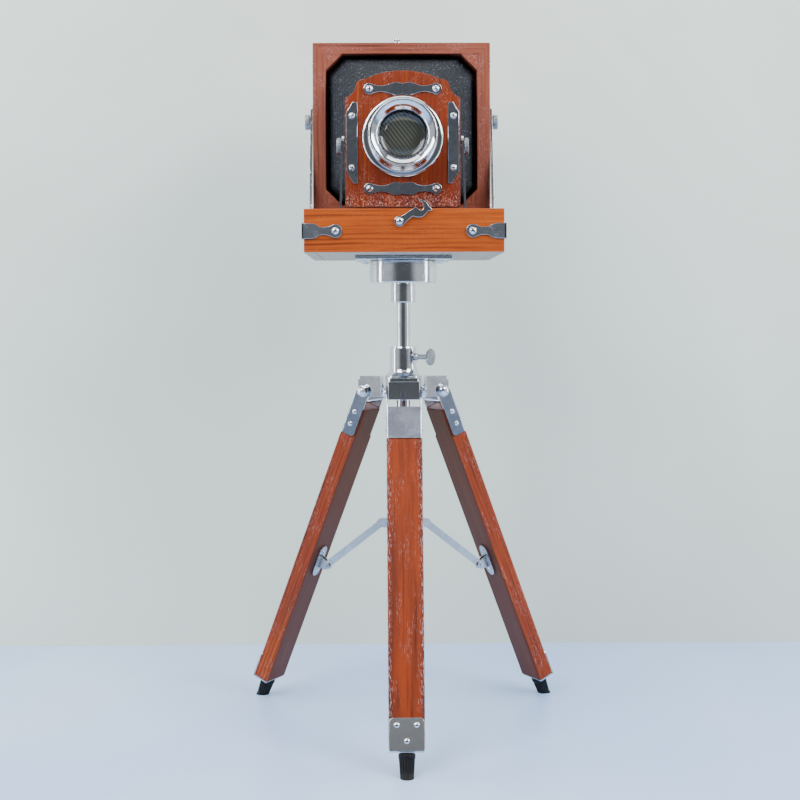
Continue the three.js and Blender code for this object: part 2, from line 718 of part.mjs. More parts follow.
for (const [name, height] of Object.entries(trimHeights)) {
  const shape = wavyTrimShape(trimLength, trimMiddle, trimWaist, trimEye);
  const trim = uprightPlate(shape, trimFront, trimThickness, 5);
  put(whole, name, trim, nickel).position.z = height;
}

// ---- side trim plates with clipped outer corners ----
const sideTrimInner = flangeRadius + 3.4;
const sideTrimOuter = boardHalf - 1;
const sideTrimHalf = 30;
const sideTrimHeight = lensHeight - 4.5;
for (const [name, side] of [['board_trim_left', -1], ['board_trim_right', 1]]) {
  const clip = 5;
  const plate = outline([
    [side * sideTrimInner, -sideTrimHalf],
    [side * (sideTrimOuter - 2.5), -sideTrimHalf],
    [side * sideTrimOuter, clip - sideTrimHalf],
    [side * sideTrimOuter, sideTrimHalf - clip],
    [side * (sideTrimOuter - 2.5), sideTrimHalf],
    [side * sideTrimInner, sideTrimHalf],
  ]);
  put(whole, name, uprightPlate(plate, trimFront, trimThickness), nickel).position.z = sideTrimHeight;
}

// ---- lens: its own Z points forwards, from the lens board's face ----
function barrelGeometry() {
  const behind = boardThickness + 1.5;
  return turned([
    [glassRadius - 2, -behind],
    [boardHole - boreGap, -behind],
    [boardHole - boreGap, seatGap],
    [flangeRadius, seatGap],
    [flangeRadius, seatGap + flangeThickness - 0.8],
    [flangeRadius - 1.2, seatGap + flangeThickness],
    [barrelRadius + 2, seatGap + flangeThickness],
    [barrelRadius, seatGap + flangeThickness + 2],
    [barrelRadius, barrelLength - 4],
    [rimRadius, barrelLength - 3.2],
    [rimRadius, barrelLength - 0.8],
    [rimRadius - 0.8, barrelLength],
    [funnelMouth, barrelLength],
    [lensBore, barrelLength - funnelDepth],
    [lensBore, 7],
    [glassRadius - 2, 7],
    [glassRadius - 2, -behind],
  ], 36);
}
function lensGlassGeometry() {
  const seat = 7 + seatGap;
  return turned([
    [0, seat],
    [glassRadius, seat + 1],
    [glassRadius, seat + 4],
    [glassRadius * 0.7, seat + 5.6],
    [glassRadius * 0.35, seat + 6.6],
    [0, seat + 6.9],
  ], 28);
}
put(whole, 'lens_barrel', alongMinusY(barrelGeometry()), nickel).position.set(0, boardFront, lensHeight);
put(whole, 'lens_glass', alongMinusY(lensGlassGeometry()), glass).position.set(0, boardFront, lensHeight);

// ---- clamp knobs: shank from s0, head from s1, along their own Z ----
function knobGeometry(shankStart, headStart, radius, thickness) {
  const headEnd = headStart + thickness;
  return turned([
    [0, shankStart],
    [knobShankRadius, shankStart],
    [knobShankRadius, headStart],
    [radius - 0.6, headStart],
    [radius, headStart + 0.6],
    [radius, headEnd - 0.6],
    [radius - 0.6, headEnd],
    [0, headEnd],
  ], 20);
}
const forkLean = (forkFootHalf - forkTopHalf) / (forkTop - forkBottom);
const forkAtClamp = forkTopHalf + forkSheet + forkLean * (forkTop - clampHeight);
const frontKnobStart = forkAtClamp + swingGap;
const rearKnobHeight = strutFoot.z + (strutTop.z - strutFoot.z) * rearKnobShare;
const rearKnobDepth = strutFoot.y + (strutTop.y - strutFoot.y) * rearKnobShare;
for (const [name, turn] of [['left', alongMinusX], ['right', alongX]]) {
  const front = knobGeometry(boardHalf + seatGap, frontKnobStart, frontKnobRadius, frontKnobThickness);
  put(whole, `front_knob_${name}`, turn(front), nickel).position.z = clampHeight;
  const rear = knobGeometry(bodyHalf + seatGap, strutOuter + swingGap, rearKnobRadius, rearKnobThickness);
  put(whole, `rear_knob_${name}`, turn(rear), nickel).position.set(0, rearKnobDepth, rearKnobHeight);
}

// ---- struts from the bed's sides to the body's sides ----
function strutGeometry() {
  const run = strutTop.y - strutFoot.y;
  const rise = strutTop.z - strutFoot.z;
  const length = Math.hypot(run, rise);
  const end = strutWidth / 2;
  const shape = new THREE.Shape();
  shape.absarc(0, 0, end, Math.PI, 2 * Math.PI, false);
  shape.absarc(0, length, end, 0, Math.PI, false);
  const eye = new THREE.Path();
  eye.absarc(0, length * rearKnobShare, knobShankRadius + boreGap, 0, 2 * Math.PI, true);
  shape.holes.push(eye);
  const strip = extruded(shape, strutSheet, 6);
  strip.rotateX(Math.PI / 2).rotateZ(Math.PI / 2);
  strip.rotateX(-Math.atan2(run, rise));
  strip.translate(strutInner, strutFoot.y, strutFoot.z);
  const screw = dome(3, 1.8, strutSheet - 0.1, 14);
  const stem = disc(1.8, bedHalf + seatGap - strutInner, strutSheet, 14);
  const fixing = alongX(join(screw, stem)).translate(strutInner, strutFoot.y, strutFoot.z);
  return join(strip, fixing);
}
const rightStrut = strutGeometry();
const leftStrut = strutGeometry().scale(-1, 1, 1);
leftStrut.setIndex(Array.from(leftStrut.index.array).reverse());
put(whole, 'rear_strut_right', rightStrut, nickel);
put(whole, 'rear_strut_left', leftStrut, nickel);

// ---- body: front frame, shell, back panel with its ground glass ----
function rearFrameGeometry() {
  const shape = outline([
    [-bodyHalf, bodyBottom],
    [bodyHalf, bodyBottom],
    [bodyHalf, bodyTop],
    [-bodyHalf, bodyTop],
  ]);
  const opening = octagon(openingSize, openingSize, openingChamfer, openingMiddle);
  shape.holes.push(outline(opening.reverse()));
  return uprightPlate(shape, bodyFront, frameThickness);
}
put(whole, 'rear_frame', rearFrameGeometry(), bodyWood);

const shellEnd = shellFront + shellDepth;
const shellBlock = block(-bodyHalf, bodyHalf, shellFront, shellEnd, bodyBottom, bodyTop);
const hollowHalf = bodyHalf - shellWall;
const hollowBottom = bodyBottom + shellWall;
const hollowTop = bodyTop - shellWall;
const shellHollow = block(-hollowHalf, hollowHalf, shellFront - 1, shellEnd + 1, hollowBottom, hollowTop);
put(whole, 'rear_shell', cut(shellBlock, shellHollow), bodyWood);

const windowHalf = windowSize / 2;
const backEnd = backFront + backThickness;
const backBlock = block(-bodyHalf, bodyHalf, backFront, backEnd, bodyBottom, bodyTop);
const windowBottom = bodyMiddle - windowHalf;
const windowTop = bodyMiddle + windowHalf;
const windowHole = block(-windowHalf, windowHalf, backFront - 1, backEnd + 1, windowBottom, windowTop);
put(whole, 'back_panel', cut(backBlock, windowHole), bodyWood);
const paneHalf = windowHalf - seatGap;
const paneFront = backFront + 1;
const paneBack = paneFront + groundGlassThickness;
const paneBottom = bodyMiddle - paneHalf;
const paneTop = bodyMiddle + paneHalf;
const pane = block(-paneHalf, paneHalf, paneFront, paneBack, paneBottom, paneTop);
put(whole, 'ground_glass', pane, glass);

// ---- butt hinge between the bed's rear board and the body's underside ----
const knuckleRadius = 1.7;
const leafLength = 64;
const knuckle = { y: bodyFront + knuckleRadius + 0.2, z: bodyBottom - seatGap - knuckleRadius };
const leafHalf = leafLength / 2;
const knuckleBar = alongX(disc(knuckleRadius, -leafHalf, leafHalf, 16)).translate(0, knuckle.y, knuckle.z);
const bedLeaf = block(-leafHalf, leafHalf, bodyFront, bodyFront + sheet, bedBottom + 8, knuckle.z + 0.5);
const leafTop = bodyBottom - seatGap;
const leafDepth = 26;
const bodyLeaf = block(-leafHalf, leafHalf, knuckle.y, knuckle.y + leafDepth, leafTop - sheet, leafTop);
put(whole, 'bed_hinge', join(knuckleBar, bedLeaf, bodyLeaf), steel);

// ---- latch stud on top of the body ----
const studProfile = [
  [0, 0],
  [studRadius + 1.6, 0],
  [studRadius + 1.6, 0.7],
  [studRadius, 0.7],
  [studRadius, studHeight - 1.5],
  [studHeadRadius, studHeight - 1.1],
  [studHeadRadius, studHeight - 0.4],
  [0, studHeight],
];
const stud = put(whole, 'latch_stud', turned(studProfile, 14), nickel);
stud.position.set(hookPivot.x, bodyFront + frameThickness / 2, bodyTop + seatGap);

// ---- bellows: an open-ended taper from the lens board to inside the frame's opening ----
function bellowsGeometry() {
  const frontY = boardFront + boardThickness + seatGap;
  const rearY = bodyFront + frameThickness - 1;
  const chamfer = openingChamfer;
  function taper(inset, extra) {
    const frontWidth = bellowsFrontWidth - inset * 2;
    const frontHeight = bellowsFrontHeight - inset * 2;
    const rearSize = bellowsRearSize - inset * 2;
    const front = octagon(frontWidth, frontHeight, chamfer - inset, lensHeight);
    const rear = octagon(rearSize, rearSize, chamfer - inset, openingMiddle);
    const positions = [];
    for (const [ring, y] of [[front, frontY - extra], [rear, rearY + extra]]) {
      ring.forEach(([x, z]) => positions.push(x, y, z));
    }
    const count = front.length;
    const index = [];
    for (let i = 0; i < count; i += 1) {
      const j = (i + 1) % count;
      index.push(i, count + j, j, i, count + i, count + j);
    }
    for (let i = 1; i < count - 1; i += 1) {
      index.push(0, i, i + 1);
      index.push(count, count + i + 1, count + i);
    }
    const geometry = new THREE.BufferGeometry();
    geometry.setAttribute('position', new THREE.Float32BufferAttribute(positions, 3));
    geometry.setIndex(index);
    return geometry;
  }
  return cut(taper(0, 0), taper(bellowsWall, 0.5));
}
put(whole, 'bellows', bellowsGeometry(), leather);

// ---- the object's frame: its outer box is centred on X and Y and stands on Z = 0 ----
const outer = new THREE.Box3().setFromObject(whole, true);
whole.position.set(-(outer.min.x + outer.max.x) / 2, -(outer.min.y + outer.max.y) / 2, 0);

export default whole;
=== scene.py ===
import json
import math
import random
import bmesh
import bpy
from mathutils import Matrix, Vector

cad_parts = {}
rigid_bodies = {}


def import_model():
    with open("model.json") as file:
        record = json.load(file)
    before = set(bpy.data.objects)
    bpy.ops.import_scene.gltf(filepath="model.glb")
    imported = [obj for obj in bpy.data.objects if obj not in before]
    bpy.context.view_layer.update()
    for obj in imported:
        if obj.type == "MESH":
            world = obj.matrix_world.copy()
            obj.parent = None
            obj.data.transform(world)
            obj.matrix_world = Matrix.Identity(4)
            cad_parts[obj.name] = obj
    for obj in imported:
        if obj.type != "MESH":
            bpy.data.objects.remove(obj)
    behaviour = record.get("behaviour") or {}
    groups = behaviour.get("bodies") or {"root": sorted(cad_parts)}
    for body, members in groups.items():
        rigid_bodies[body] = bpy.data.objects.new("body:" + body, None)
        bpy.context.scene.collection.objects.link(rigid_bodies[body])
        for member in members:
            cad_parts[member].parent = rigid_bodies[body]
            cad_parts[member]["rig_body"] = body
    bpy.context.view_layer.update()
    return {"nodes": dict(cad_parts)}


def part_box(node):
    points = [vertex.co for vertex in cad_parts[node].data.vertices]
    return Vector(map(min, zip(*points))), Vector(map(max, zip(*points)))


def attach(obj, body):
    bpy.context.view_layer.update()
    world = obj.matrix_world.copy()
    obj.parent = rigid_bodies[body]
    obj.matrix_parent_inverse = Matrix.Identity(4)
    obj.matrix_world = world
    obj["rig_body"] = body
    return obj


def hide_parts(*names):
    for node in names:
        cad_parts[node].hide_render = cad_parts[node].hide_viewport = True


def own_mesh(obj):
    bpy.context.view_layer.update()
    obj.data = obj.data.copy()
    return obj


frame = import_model()
print("frame loaded")

mm = 0.001
dice = random.Random(7)
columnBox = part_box("column_rod")
columnY = (columnBox[0].y + columnBox[1].y) / 2 / mm  # the stand's axis, in mm


def boxOf(node):
    low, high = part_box(node)
    return low / mm, high / mm


def middleOf(node):
    low, high = boxOf(node)
    return (low + high) / 2


def shade(red, green, blue):
    # an 8-bit colour as the linear one the nodes take
    def linear(part):
        part = part / 255
        return part / 12.92 if part <= 0.04045 else ((part + 0.055) / 1.055) ** 2.4
    return (linear(red), linear(green), linear(blue), 1.0)


def at(x, y, z):
    return Matrix.Translation((x, y, z))


def spun(degrees, axis):
    return Matrix.Rotation(math.radians(degrees), 4, axis)


# camera
cameraPlace = {"azimuth": 0.699, "distance": 993.67, "height": 304.02, "pitch": 1.582,
               "roll": -0.187, "yaw": -0.143, "lens": 59.93, "shift": -0.0625}


def makeCamera():
    data = bpy.data.cameras.new("viewCamera")
    camera = bpy.data.objects.new("viewCamera", data)
    bpy.context.scene.collection.objects.link(camera)
    around = math.radians(cameraPlace["azimuth"])
    heading = math.radians(cameraPlace["azimuth"] + cameraPlace["yaw"])
    pitch = math.radians(cameraPlace["pitch"])
    roll = math.radians(cameraPlace["roll"])
    far = cameraPlace["distance"]
    forward = Vector((math.sin(heading) * math.cos(pitch), math.cos(heading) * math.cos(pitch),
                      -math.sin(pitch)))
    right = Vector((math.cos(heading), -math.sin(heading), 0))
    up = right.cross(forward)
    sideways = right * math.cos(roll) + up * math.sin(roll)
    upwards = up * math.cos(roll) - right * math.sin(roll)
    place = Vector((-far * math.sin(around), columnY - far * math.cos(around),
                    cameraPlace["height"])) * mm
    turn = Matrix((sideways, upwards, -forward)).transposed()
    camera.matrix_world = Matrix.Translation(place) @ turn.to_4x4()
    data.lens = cameraPlace["lens"]
    data.sensor_width = 36
    data.shift_y = cameraPlace["shift"]
    data.clip_start = 0.02
    data.clip_end = 20
    bpy.context.scene.camera = camera


makeCamera()


# shader nodes
class Wire:
    # a socket that takes part in Python sums
    def __init__(self, tree, socket):
        self.tree = tree
        self.socket = socket

    def sum(self, operation, *values):
        node = self.tree.nodes.new("ShaderNodeMath")
        node.operation = operation
        for slot, value in zip(node.inputs, values):
            if isinstance(value, Wire):
                self.tree.links.new(value.socket, slot)
            else:
                slot.default_value = value
        return Wire(self.tree, node.outputs[0])

    def __add__(self, other):
        return self.sum("ADD", self, other)

    __radd__ = __add__

    def __sub__(self, other):
        return self.sum("SUBTRACT", self, other)

    def __rsub__(self, other):
        return self.sum("SUBTRACT", other, self)

    def __mul__(self, other):
        return self.sum("MULTIPLY", self, other)

    __rmul__ = __mul__

    def __neg__(self):
        return self.sum("MULTIPLY", self, -1.0)

    def above(self, other):
        return self.sum("GREATER_THAN", self, other)

    def larger(self, other):
        return self.sum("MAXIMUM", self, other)

    def size(self):
        return self.sum("ABSOLUTE", self)

    def ease(self, low, high):
        # 0 at low and 1 at high, smooth between; low may be the greater
        node = self.tree.nodes.new("ShaderNodeMapRange")
        node.interpolation_type = "SMOOTHSTEP"
        self.tree.links.new(self.socket, node.inputs["Value"])
        node.inputs["From Min"].default_value = low
        node.inputs["From Max"].default_value = high
        return Wire(self.tree, node.outputs[0])


class Finish:
    # a material and its one shader; constants go on the shader's own sockets
    def __init__(self, name, **constants):
        self.material = bpy.data.materials.new(name)
        self.material.use_nodes = True
        self.tree = self.material.node_tree
        self.shader = self.tree.nodes["Principled BSDF"]
        for socket, value in constants.items():
            self.shader.inputs[socket.replace("_", " ")].default_value = value

    def node(self, kind, settings=None, sockets=None, output=0):
        made = self.tree.nodes.new("ShaderNode" + kind)
        for name, value in (settings or {}).items():
            if name == "stops":
                ramp = made.color_ramp
                while len(ramp.elements) < len(value):
                    ramp.elements.new(0.5)
                for element, (position, colour) in zip(ramp.elements, value):
                    element.position = position
                    element.color = colour
            else:
                setattr(made, name, value)
        for name, value in (sockets or {}).items():
            if isinstance(value, Wire):
                self.tree.links.new(value.socket, made.inputs[name])
            else:
                made.inputs[name].default_value = value
        return Wire(self.tree, made.outputs[output])

    def place(self):
        return self.node("TexCoord", output="Object")

    def axes(self, vector):
        split = self.node("SeparateXYZ", None, {0: vector}).socket.node
        return [Wire(self.tree, split.outputs[axis]) for axis in "XYZ"]

    def scaled(self, vector, scale):
        return self.node("VectorMath", {"operation": "MULTIPLY"}, {0: vector, 1: scale})

    def noise(self, vector, scale, detail, roughness, distortion=0.0):
        return self.node("TexNoise", None, {"Vector": self.scaled(vector, scale), "Scale": 1.0,
                                            "Detail": detail, "Roughness": roughness,
                                            "Distortion": distortion})

    def blend(self, factor, first, second):
        # colours in, colour out
        return self.node("Mix", {"data_type": "RGBA"}, {0: factor, 6: first, 7: second}, output=2)

    def bump(self, height, strength, depth):
        return self.node("Bump", None, {"Height": height, "Strength": strength, "Distance": depth})

    def give(self, **links):
        for socket, wire in links.items():
            self.tree.links.new(wire.socket, self.shader.inputs[socket.replace("_", " ")])
        return self.material


# wood
# in each look the pale fleck colour is painted glints of light on the pores, along rubbed edges also worn
# varnish
woods = {
    # leg: the inner colour is painted shade for the inward face, which faces down and in
    "leg": {"dark": shade(60, 17, 4), "main": shade(132, 47, 4), "light": shade(194, 92, 14),
            "inner": shade(74, 36, 18), "glintAndWearFleck": shade(214, 176, 172), "worn": shade(66, 20, 24),
            "glintAndWearFlecks": 0.2, "speck": 240, "gloss": 0.46, "coat": 0.02},
    # bed: the inner colour is a painted reflection of the pale wall on the under side
    "bed": {"dark": shade(104, 38, 3), "main": shade(160, 68, 5), "light": shade(186, 92, 12),
            "inner": shade(160, 158, 148), "glintAndWearFleck": shade(206, 140, 96), "worn": shade(120, 50, 24),
            "glintAndWearFlecks": 0.12, "speck": 500, "gloss": 0.46, "coat": 0.02},
    "board": {"dark": shade(58, 16, 2), "main": shade(116, 38, 2), "light": shade(158, 70, 6),
              "inner": shade(58, 16, 2), "glintAndWearFleck": shade(206, 150, 136), "worn": shade(74, 26, 24),
              "glintAndWearFlecks": 0.3, "speck": 1100, "gloss": 0.48, "coat": 0.02},
    "body": {"dark": shade(84, 36, 26), "main": shade(134, 70, 52), "light": shade(160, 92, 70),
             "inner": shade(84, 36, 26), "glintAndWearFleck": shade(190, 150, 146), "worn": shade(96, 50, 44),
             "glintAndWearFlecks": 0.34, "speck": 900, "gloss": 0.5, "coat": 0.02},
}


def wood(name, tone, grain, offset=(0, 0, 0), mitre=None, ownFrame=None, wear=None):
    # grain is the direction the fibres run, or ownFrame the part's own frame with its fibres along Z;
    # mitre is the height of a frame's middle, whose stiles turn upright;
    # wear gives two masks: where the finish is rubbed, which also gathers painted glints, and where
    # painted light is laid on: painted shade on a leg's inward face, a painted reflection of the pale
    # wall under the bed, and a darker back on the lens board
    look = woods[tone]
    made = Finish(name, Specular_IOR_Level=0.2, Coat_Roughness=0.2)
    here = made.place()
    if ownFrame is not None:
        back = ownFrame.inverted()
        here = made.node("Mapping", None, {"Vector": here, "Location": back.translation * mm,
                                           "Rotation": back.to_euler()})
        along = made.node("VectorMath", {"operation": "ADD"}, {0: here, 1: offset})
    else:
        turn = Vector(grain).rotation_difference(Vector((0, 0, 1))).to_euler()
        along = made.node("Mapping", None, {"Vector": here, "Location": offset, "Rotation": turn})
    if mitre is not None:
        x, z = made.axes(here)[::2]
        stile = x.size().above((z - mitre).size())
        along = made.node("Mix", {"data_type": "VECTOR"}, {0: stile, 4: along, 5: here}, output=1)
    figure = made.noise(along, (62, 62, 4.5), 3.0, 0.6, 0.9)
    streak = made.noise(along, (260, 260, 7), 4.0, 0.6, 0.35)
    fibre = made.noise(along, (900, 900, 26), 3.0, 0.65)
    pore = made.noise(along, (2300, 2300, look["speck"]), 2.0, 0.6)
    patch = made.noise(along, (130, 130, 40), 2.0, 0.5)
    cathedral = made.node("TexWave", {"wave_type": "BANDS", "bands_direction": "X"},
                          {"Vector": made.scaled(along, (1.0, 1.0, 0.09)), "Scale": 95.0,
                           "Distortion": 5.0, "Detail": 3.0, "Detail Scale": 1.2}, output="Fac")
    warm = figure * 0.4 + streak * 0.3 + fibre * 0.16 + cathedral * 0.14
    colour = made.node("ValToRGB", {"stops": [(0.34, look["dark"]), (0.45, look["main"]),
                                              (0.56, look["main"]), (0.68, look["light"])]},
                       {"Fac": warm})
    colour = made.blend(fibre.ease(0.48, 0.68) * 0.45, colour, look["dark"])
    colour = made.blend(streak.ease(0.56, 0.68) * 0.35, colour, look["dark"])
    # pale flecks: painted glints on the pores
    glintAndWearFlecks = patch.ease(0.48, 0.62) * look["glintAndWearFlecks"]
    if wear:
        worn, paintedLight = wear(made.axes(here))
        # the rubbed mask darkens worn finish and adds painted glint flecks along the rubbed edges
        colour = made.blend(worn * patch.ease(0.3, 0.55) * 0.7, colour, look["worn"])
        # painted light: painted shade on a leg's inward face, a painted reflection of the pale wall under
        # the bed, a darker back on the lens board
        colour = made.blend(paintedLight * 0.85, colour, look["inner"])
        glintAndWearFlecks = (glintAndWearFlecks + worn * 0.8) * (1 - paintedLight)
    # painted glints, with worn varnish along rubbed edges, laid on as pale flecks
    glintAndWearFleck = pore.ease(0.57, 0.63) * glintAndWearFlecks
    colour = made.blend(glintAndWearFleck, colour, look["glintAndWearFleck"])
    colour = made.blend(pore.ease(0.38, 0.3) * 0.5, colour, look["dark"])
    rough = look["gloss"] + fibre * 0.16 + glintAndWearFleck * 0.12
    relief = fibre * 0.5 + pore * 0.3 + streak * 0.4
    return made.give(Base_Color=colour, Roughness=rough,
                     Coat_Weight=look["coat"] + streak * 0.15,
                     Normal=made.bump(relief, 0.35, 0.0004))


def legWearAndShade(axes):
    # rubbed long edges, and painted shade on the inner face, which faces down and in, making it darker
    # and duller
    x, y = axes[:2]
    edge = y.size().ease(0.0084, 0.0124) * x.ease(0.0, 0.006)
    # painted shade: the second mask darkens the inward face
    return edge, x.ease(-0.0055, -0.0064)


# the other legs: edges barely rubbed, and the same painted shade on the inner face
def plainLegWearAndShade(axes):
    edge, paintedLight = legWearAndShade(axes)
    return edge * 0.15, paintedLight


def bedPaintedReflection(axes):
    # painted reflection: the under side is painted the pale grey of the wall it mirrors
    under = axes[2].ease(0.3466, 0.3463)
    return under * 0.0, under


def boardWearAndGlints(axes):
    # rubbed, with more painted glint flecks, towards the lower edge and the sides; the back face darker
    x, y, z = axes
    return z.ease(0.4, 0.386).larger(x.size().ease(0.038, 0.042) * 0.6), y.ease(0.0148, 0.0156)


# metals
metals = {
    "nickel": {"tint": shade(216, 218, 222), "shadow": shade(196, 200, 208), "rough": 0.05, "wear": 0.07},
    "steel": {"tint": shade(188, 190, 193), "shadow": shade(168, 171, 176), "rough": 0.22, "wear": 0.08},
    "plate": {"tint": shade(212, 217, 228), "shadow": shade(186, 191, 204), "rough": 0.08, "wear": 0.07},
    "strap": {"tint": shade(172, 180, 196), "shadow": shade(140, 147, 162), "rough": 0.12, "wear": 0.08},
    "tread": {"tint": shade(160, 163, 168), "shadow": shade(120, 123, 130), "rough": 0.25, "wear": 0.2},
}


def metal(name, kind, grain=(0, 0, 1)):
    look = metals[kind]
    made = Finish(name, Specular_IOR_Level=0.5)
    turn = Vector(grain).rotation_difference(Vector((0, 0, 1))).to_euler()
    along = made.node("Mapping", None, {"Vector": made.place(), "Rotation": turn})
    cloud = made.noise(along, (70, 70, 70), 4.0, 0.6, 0.6)
    brushed = made.noise(along, (2600, 2600, 60), 2.0, 0.6)
    scratch = made.noise(along, (520, 900, 38), 3.0, 0.7, 1.4)
    colour = made.blend(cloud.ease(0.35, 0.68), look["tint"], look["shadow"])
    colour = made.blend(scratch.ease(0.68, 0.74) * 0.3, colour, shade(120, 126, 138))
    rough = look["rough"] + look["wear"] * cloud.ease(0.45, 0.75) + brushed * look["wear"] * 0.5
    height = brushed * 0.4 + scratch.ease(0.6, 0.7) * 0.6
    return made.give(Base_Color=colour, Metallic=1.0 - scratch.ease(0.7, 0.78) * 0.15,
                     Roughness=rough, Normal=made.bump(height, 0.12, 0.0002))


# bellows cloth, rubber and glass
def bellowsCloth():
    made = Finish("bellowsCloth", Specular_IOR_Level=0.4)
    here = made.place()
    grain = made.node("TexVoronoi", {"feature": "DISTANCE_TO_EDGE"},
                      {"Vector": made.scaled(here, (1000, 1000, 1000)), "Scale": 1.0})
    speckle = made.noise(here, (880, 880, 880), 3.0, 0.7)
    broad = made.noise(here, (70, 70, 70), 3.0, 0.6)
    pebble = grain.ease(0.02, 0.28)
    colour = made.blend(pebble, shade(5, 7, 11), shade(17, 23, 36))
    colour = made.blend(broad.ease(0.5, 0.75) * 0.35, colour, shade(38, 46, 60))
    colour = made.blend(speckle.ease(0.61, 0.68) * 0.7, colour, shade(140, 154, 180))
    rough = 0.62 - pebble * 0.2 + speckle * 0.1
    return made.give(Base_Color=colour, Roughness=rough,
                     Normal=made.bump(pebble + speckle * 0.5, 0.8, 0.0005))


def rubberCompound():
    made = Finish("rubberCompound", Specular_IOR_Level=0.22)
    here = made.place()
    dust = made.noise(here, (180, 180, 180), 4.0, 0.65)
    speckle = made.noise(here, (1600, 1600, 1600), 2.0, 0.6)
    colour = made.blend(dust.ease(0.5, 0.8) * 0.3, shade(6, 7, 9), shade(44, 47, 52))
    return made.give(Base_Color=colour, Roughness=0.34 + dust * 0.3,
                     Normal=made.bump(speckle + dust, 0.3, 0.0003))


def lensGlass():
    # a smoked glass with the faint slanting lines of what stands behind it
    made = Finish("lensGlass", Specular_IOR_Level=0.55, Coat_Roughness=0.03)
    here = made.place()
    lean = made.node("Mapping", None, {"Vector": here, "Rotation": (0, math.radians(38), 0)})
    lines = made.node("TexWave", {"wave_type": "BANDS", "bands_direction": "X"},
                      {"Vector": lean, "Scale": 128.0, "Distortion": 1.2, "Detail": 1.0,
                       "Detail Scale": 0.6}, output="Fac")
    haze = made.noise(here, (34, 34, 34), 3.0, 0.5)
    seen = lines.ease(0.3, 0.8) * haze.ease(0.3, 0.6) * 0.5
    colour = made.blend(seen, shade(48, 49, 43), shade(86, 88, 78))
    return made.give(Base_Color=colour, Roughness=0.06 + haze * 0.06, Coat_Weight=0.6 + haze * 0.4)


def screenGlass():
    made = Finish("screenGlass", Specular_IOR_Level=0.5)
    here = made.place()
    frost = made.noise(here, (1400, 1400, 1400), 3.0, 0.6)
    cloud = made.noise(here, (26, 26, 26), 3.0, 0.5)
    colour = made.blend(cloud.ease(0.3, 0.7), shade(176, 186, 182), shade(204, 210, 204))
    return made.give(Base_Color=colour, Roughness=0.42 + frost * 0.2,
                     Normal=made.bump(frost, 0.25, 0.0002))


legAngles = {"front": -90, "right": 30, "left": 150}
hinge = {"radius": 27.5, "height": 246, "footRadius": 130}
splay = math.atan2(hinge["footRadius"] - hinge["radius"], hinge["height"])


def legFrame(side):
    # a leg's own frame: X outwards, Z up along it, the hinge at its origin
    return (at(0, columnY, 0) @ spun(legAngles[side], "Z")
            @ at(hinge["radius"], 0, hinge["height"]) @ spun(-math.degrees(splay), "Y"))


nickel = metal("nickelPlate", "nickel")
steelLong = metal("steelPlate", "steel")
steelCross = metal("steelPlateCross", "steel", (1, 0, 0))
plateLong = metal("polishedPlate", "plate")
strapSteel = metal("strapSteel", "strap")
plateCross = metal("polishedPlateCross", "plate", (1, 0, 0))
tread = metal("knurledNickel", "tread")
cloth = bellowsCloth()
rubber = rubberCompound()
smoked = lensGlass()
screen = screenGlass()
boardWood = wood("boardWood", "board", (0.03, 0, 1), (0.4, 0.1, 0), wear=boardWearAndGlints)
bedAcross = wood("bedWoodAcross", "bed", (1, 0, 0.012), (0.2, 0.3, 0), wear=bedPaintedReflection)
bedAlong = wood("bedWoodAlong", "bed", (0, 1, 0), (0.7, 0.1, 0), wear=bedPaintedReflection)
frameWood = wood("frameWood", "body", (1, 0, 0), (0.1, 0.9, 0), mitre=middleOf("rear_frame").z * mm)
shellWood = wood("shellWood", "body", (0, 0, 1), (0.5, 0.2, 0))
legWoods = {}
for index, side in enumerate(legAngles):
    shift = (0.31 * index, 0.17 * index, 0.4 * index)
    legWoods[side] = wood("legWood" + side.capitalize(), "leg", None, shift, ownFrame=legFrame(side),
                          wear=legWearAndShade if side == "front" else plainLegWearAndShade)
print("finishes made")


# mesh making, all in mm
def piece(name, meshes, material, body, slot, stands=(), sharp=32, weighted=True):
    # meshes is a list of (points, faces)
    points, faces = [], []
    for meshPoints, meshFaces in meshes:
        start = len(points)
        points += [Vector(p) * mm for p in meshPoints]
        faces += [[start + i for i in face] for face in meshFaces]
    data = bpy.data.meshes.new(name)
    data.from_pydata([tuple(p) for p in points], [], faces)
    work = bmesh.new()
    work.from_mesh(data)
    bmesh.ops.remove_doubles(work, verts=work.verts, dist=2e-6)
    bmesh.ops.recalc_face_normals(work, faces=work.faces)
    work.to_mesh(data)
    work.free()
    return dress(name, data, material, body, stands, sharp, weighted)


def dress(name, data, material, body, stands, sharp, weighted):
    data.shade_smooth()
    data.set_sharp_from_angle(angle=math.radians(sharp))
    data.materials.clear()
    data.materials.append(material)
    made = bpy.data.objects.new(name, data)
    bpy.context.scene.collection.objects.link(made)
    if weighted:
        evened = made.modifiers.new("evenNormals", "WEIGHTED_NORMAL")
        evened.keep_sharp = True
    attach(made, body)
    if stands:
        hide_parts(*stands)
    return made


def fine(node, meshes, material, body, slot, **more):
    # a detailed piece that replaces one CAD node
    return piece(node + ".fine", meshes, material, body, slot, [node], **more)


edgeSteps = {"edge": 3, "bend": 6}


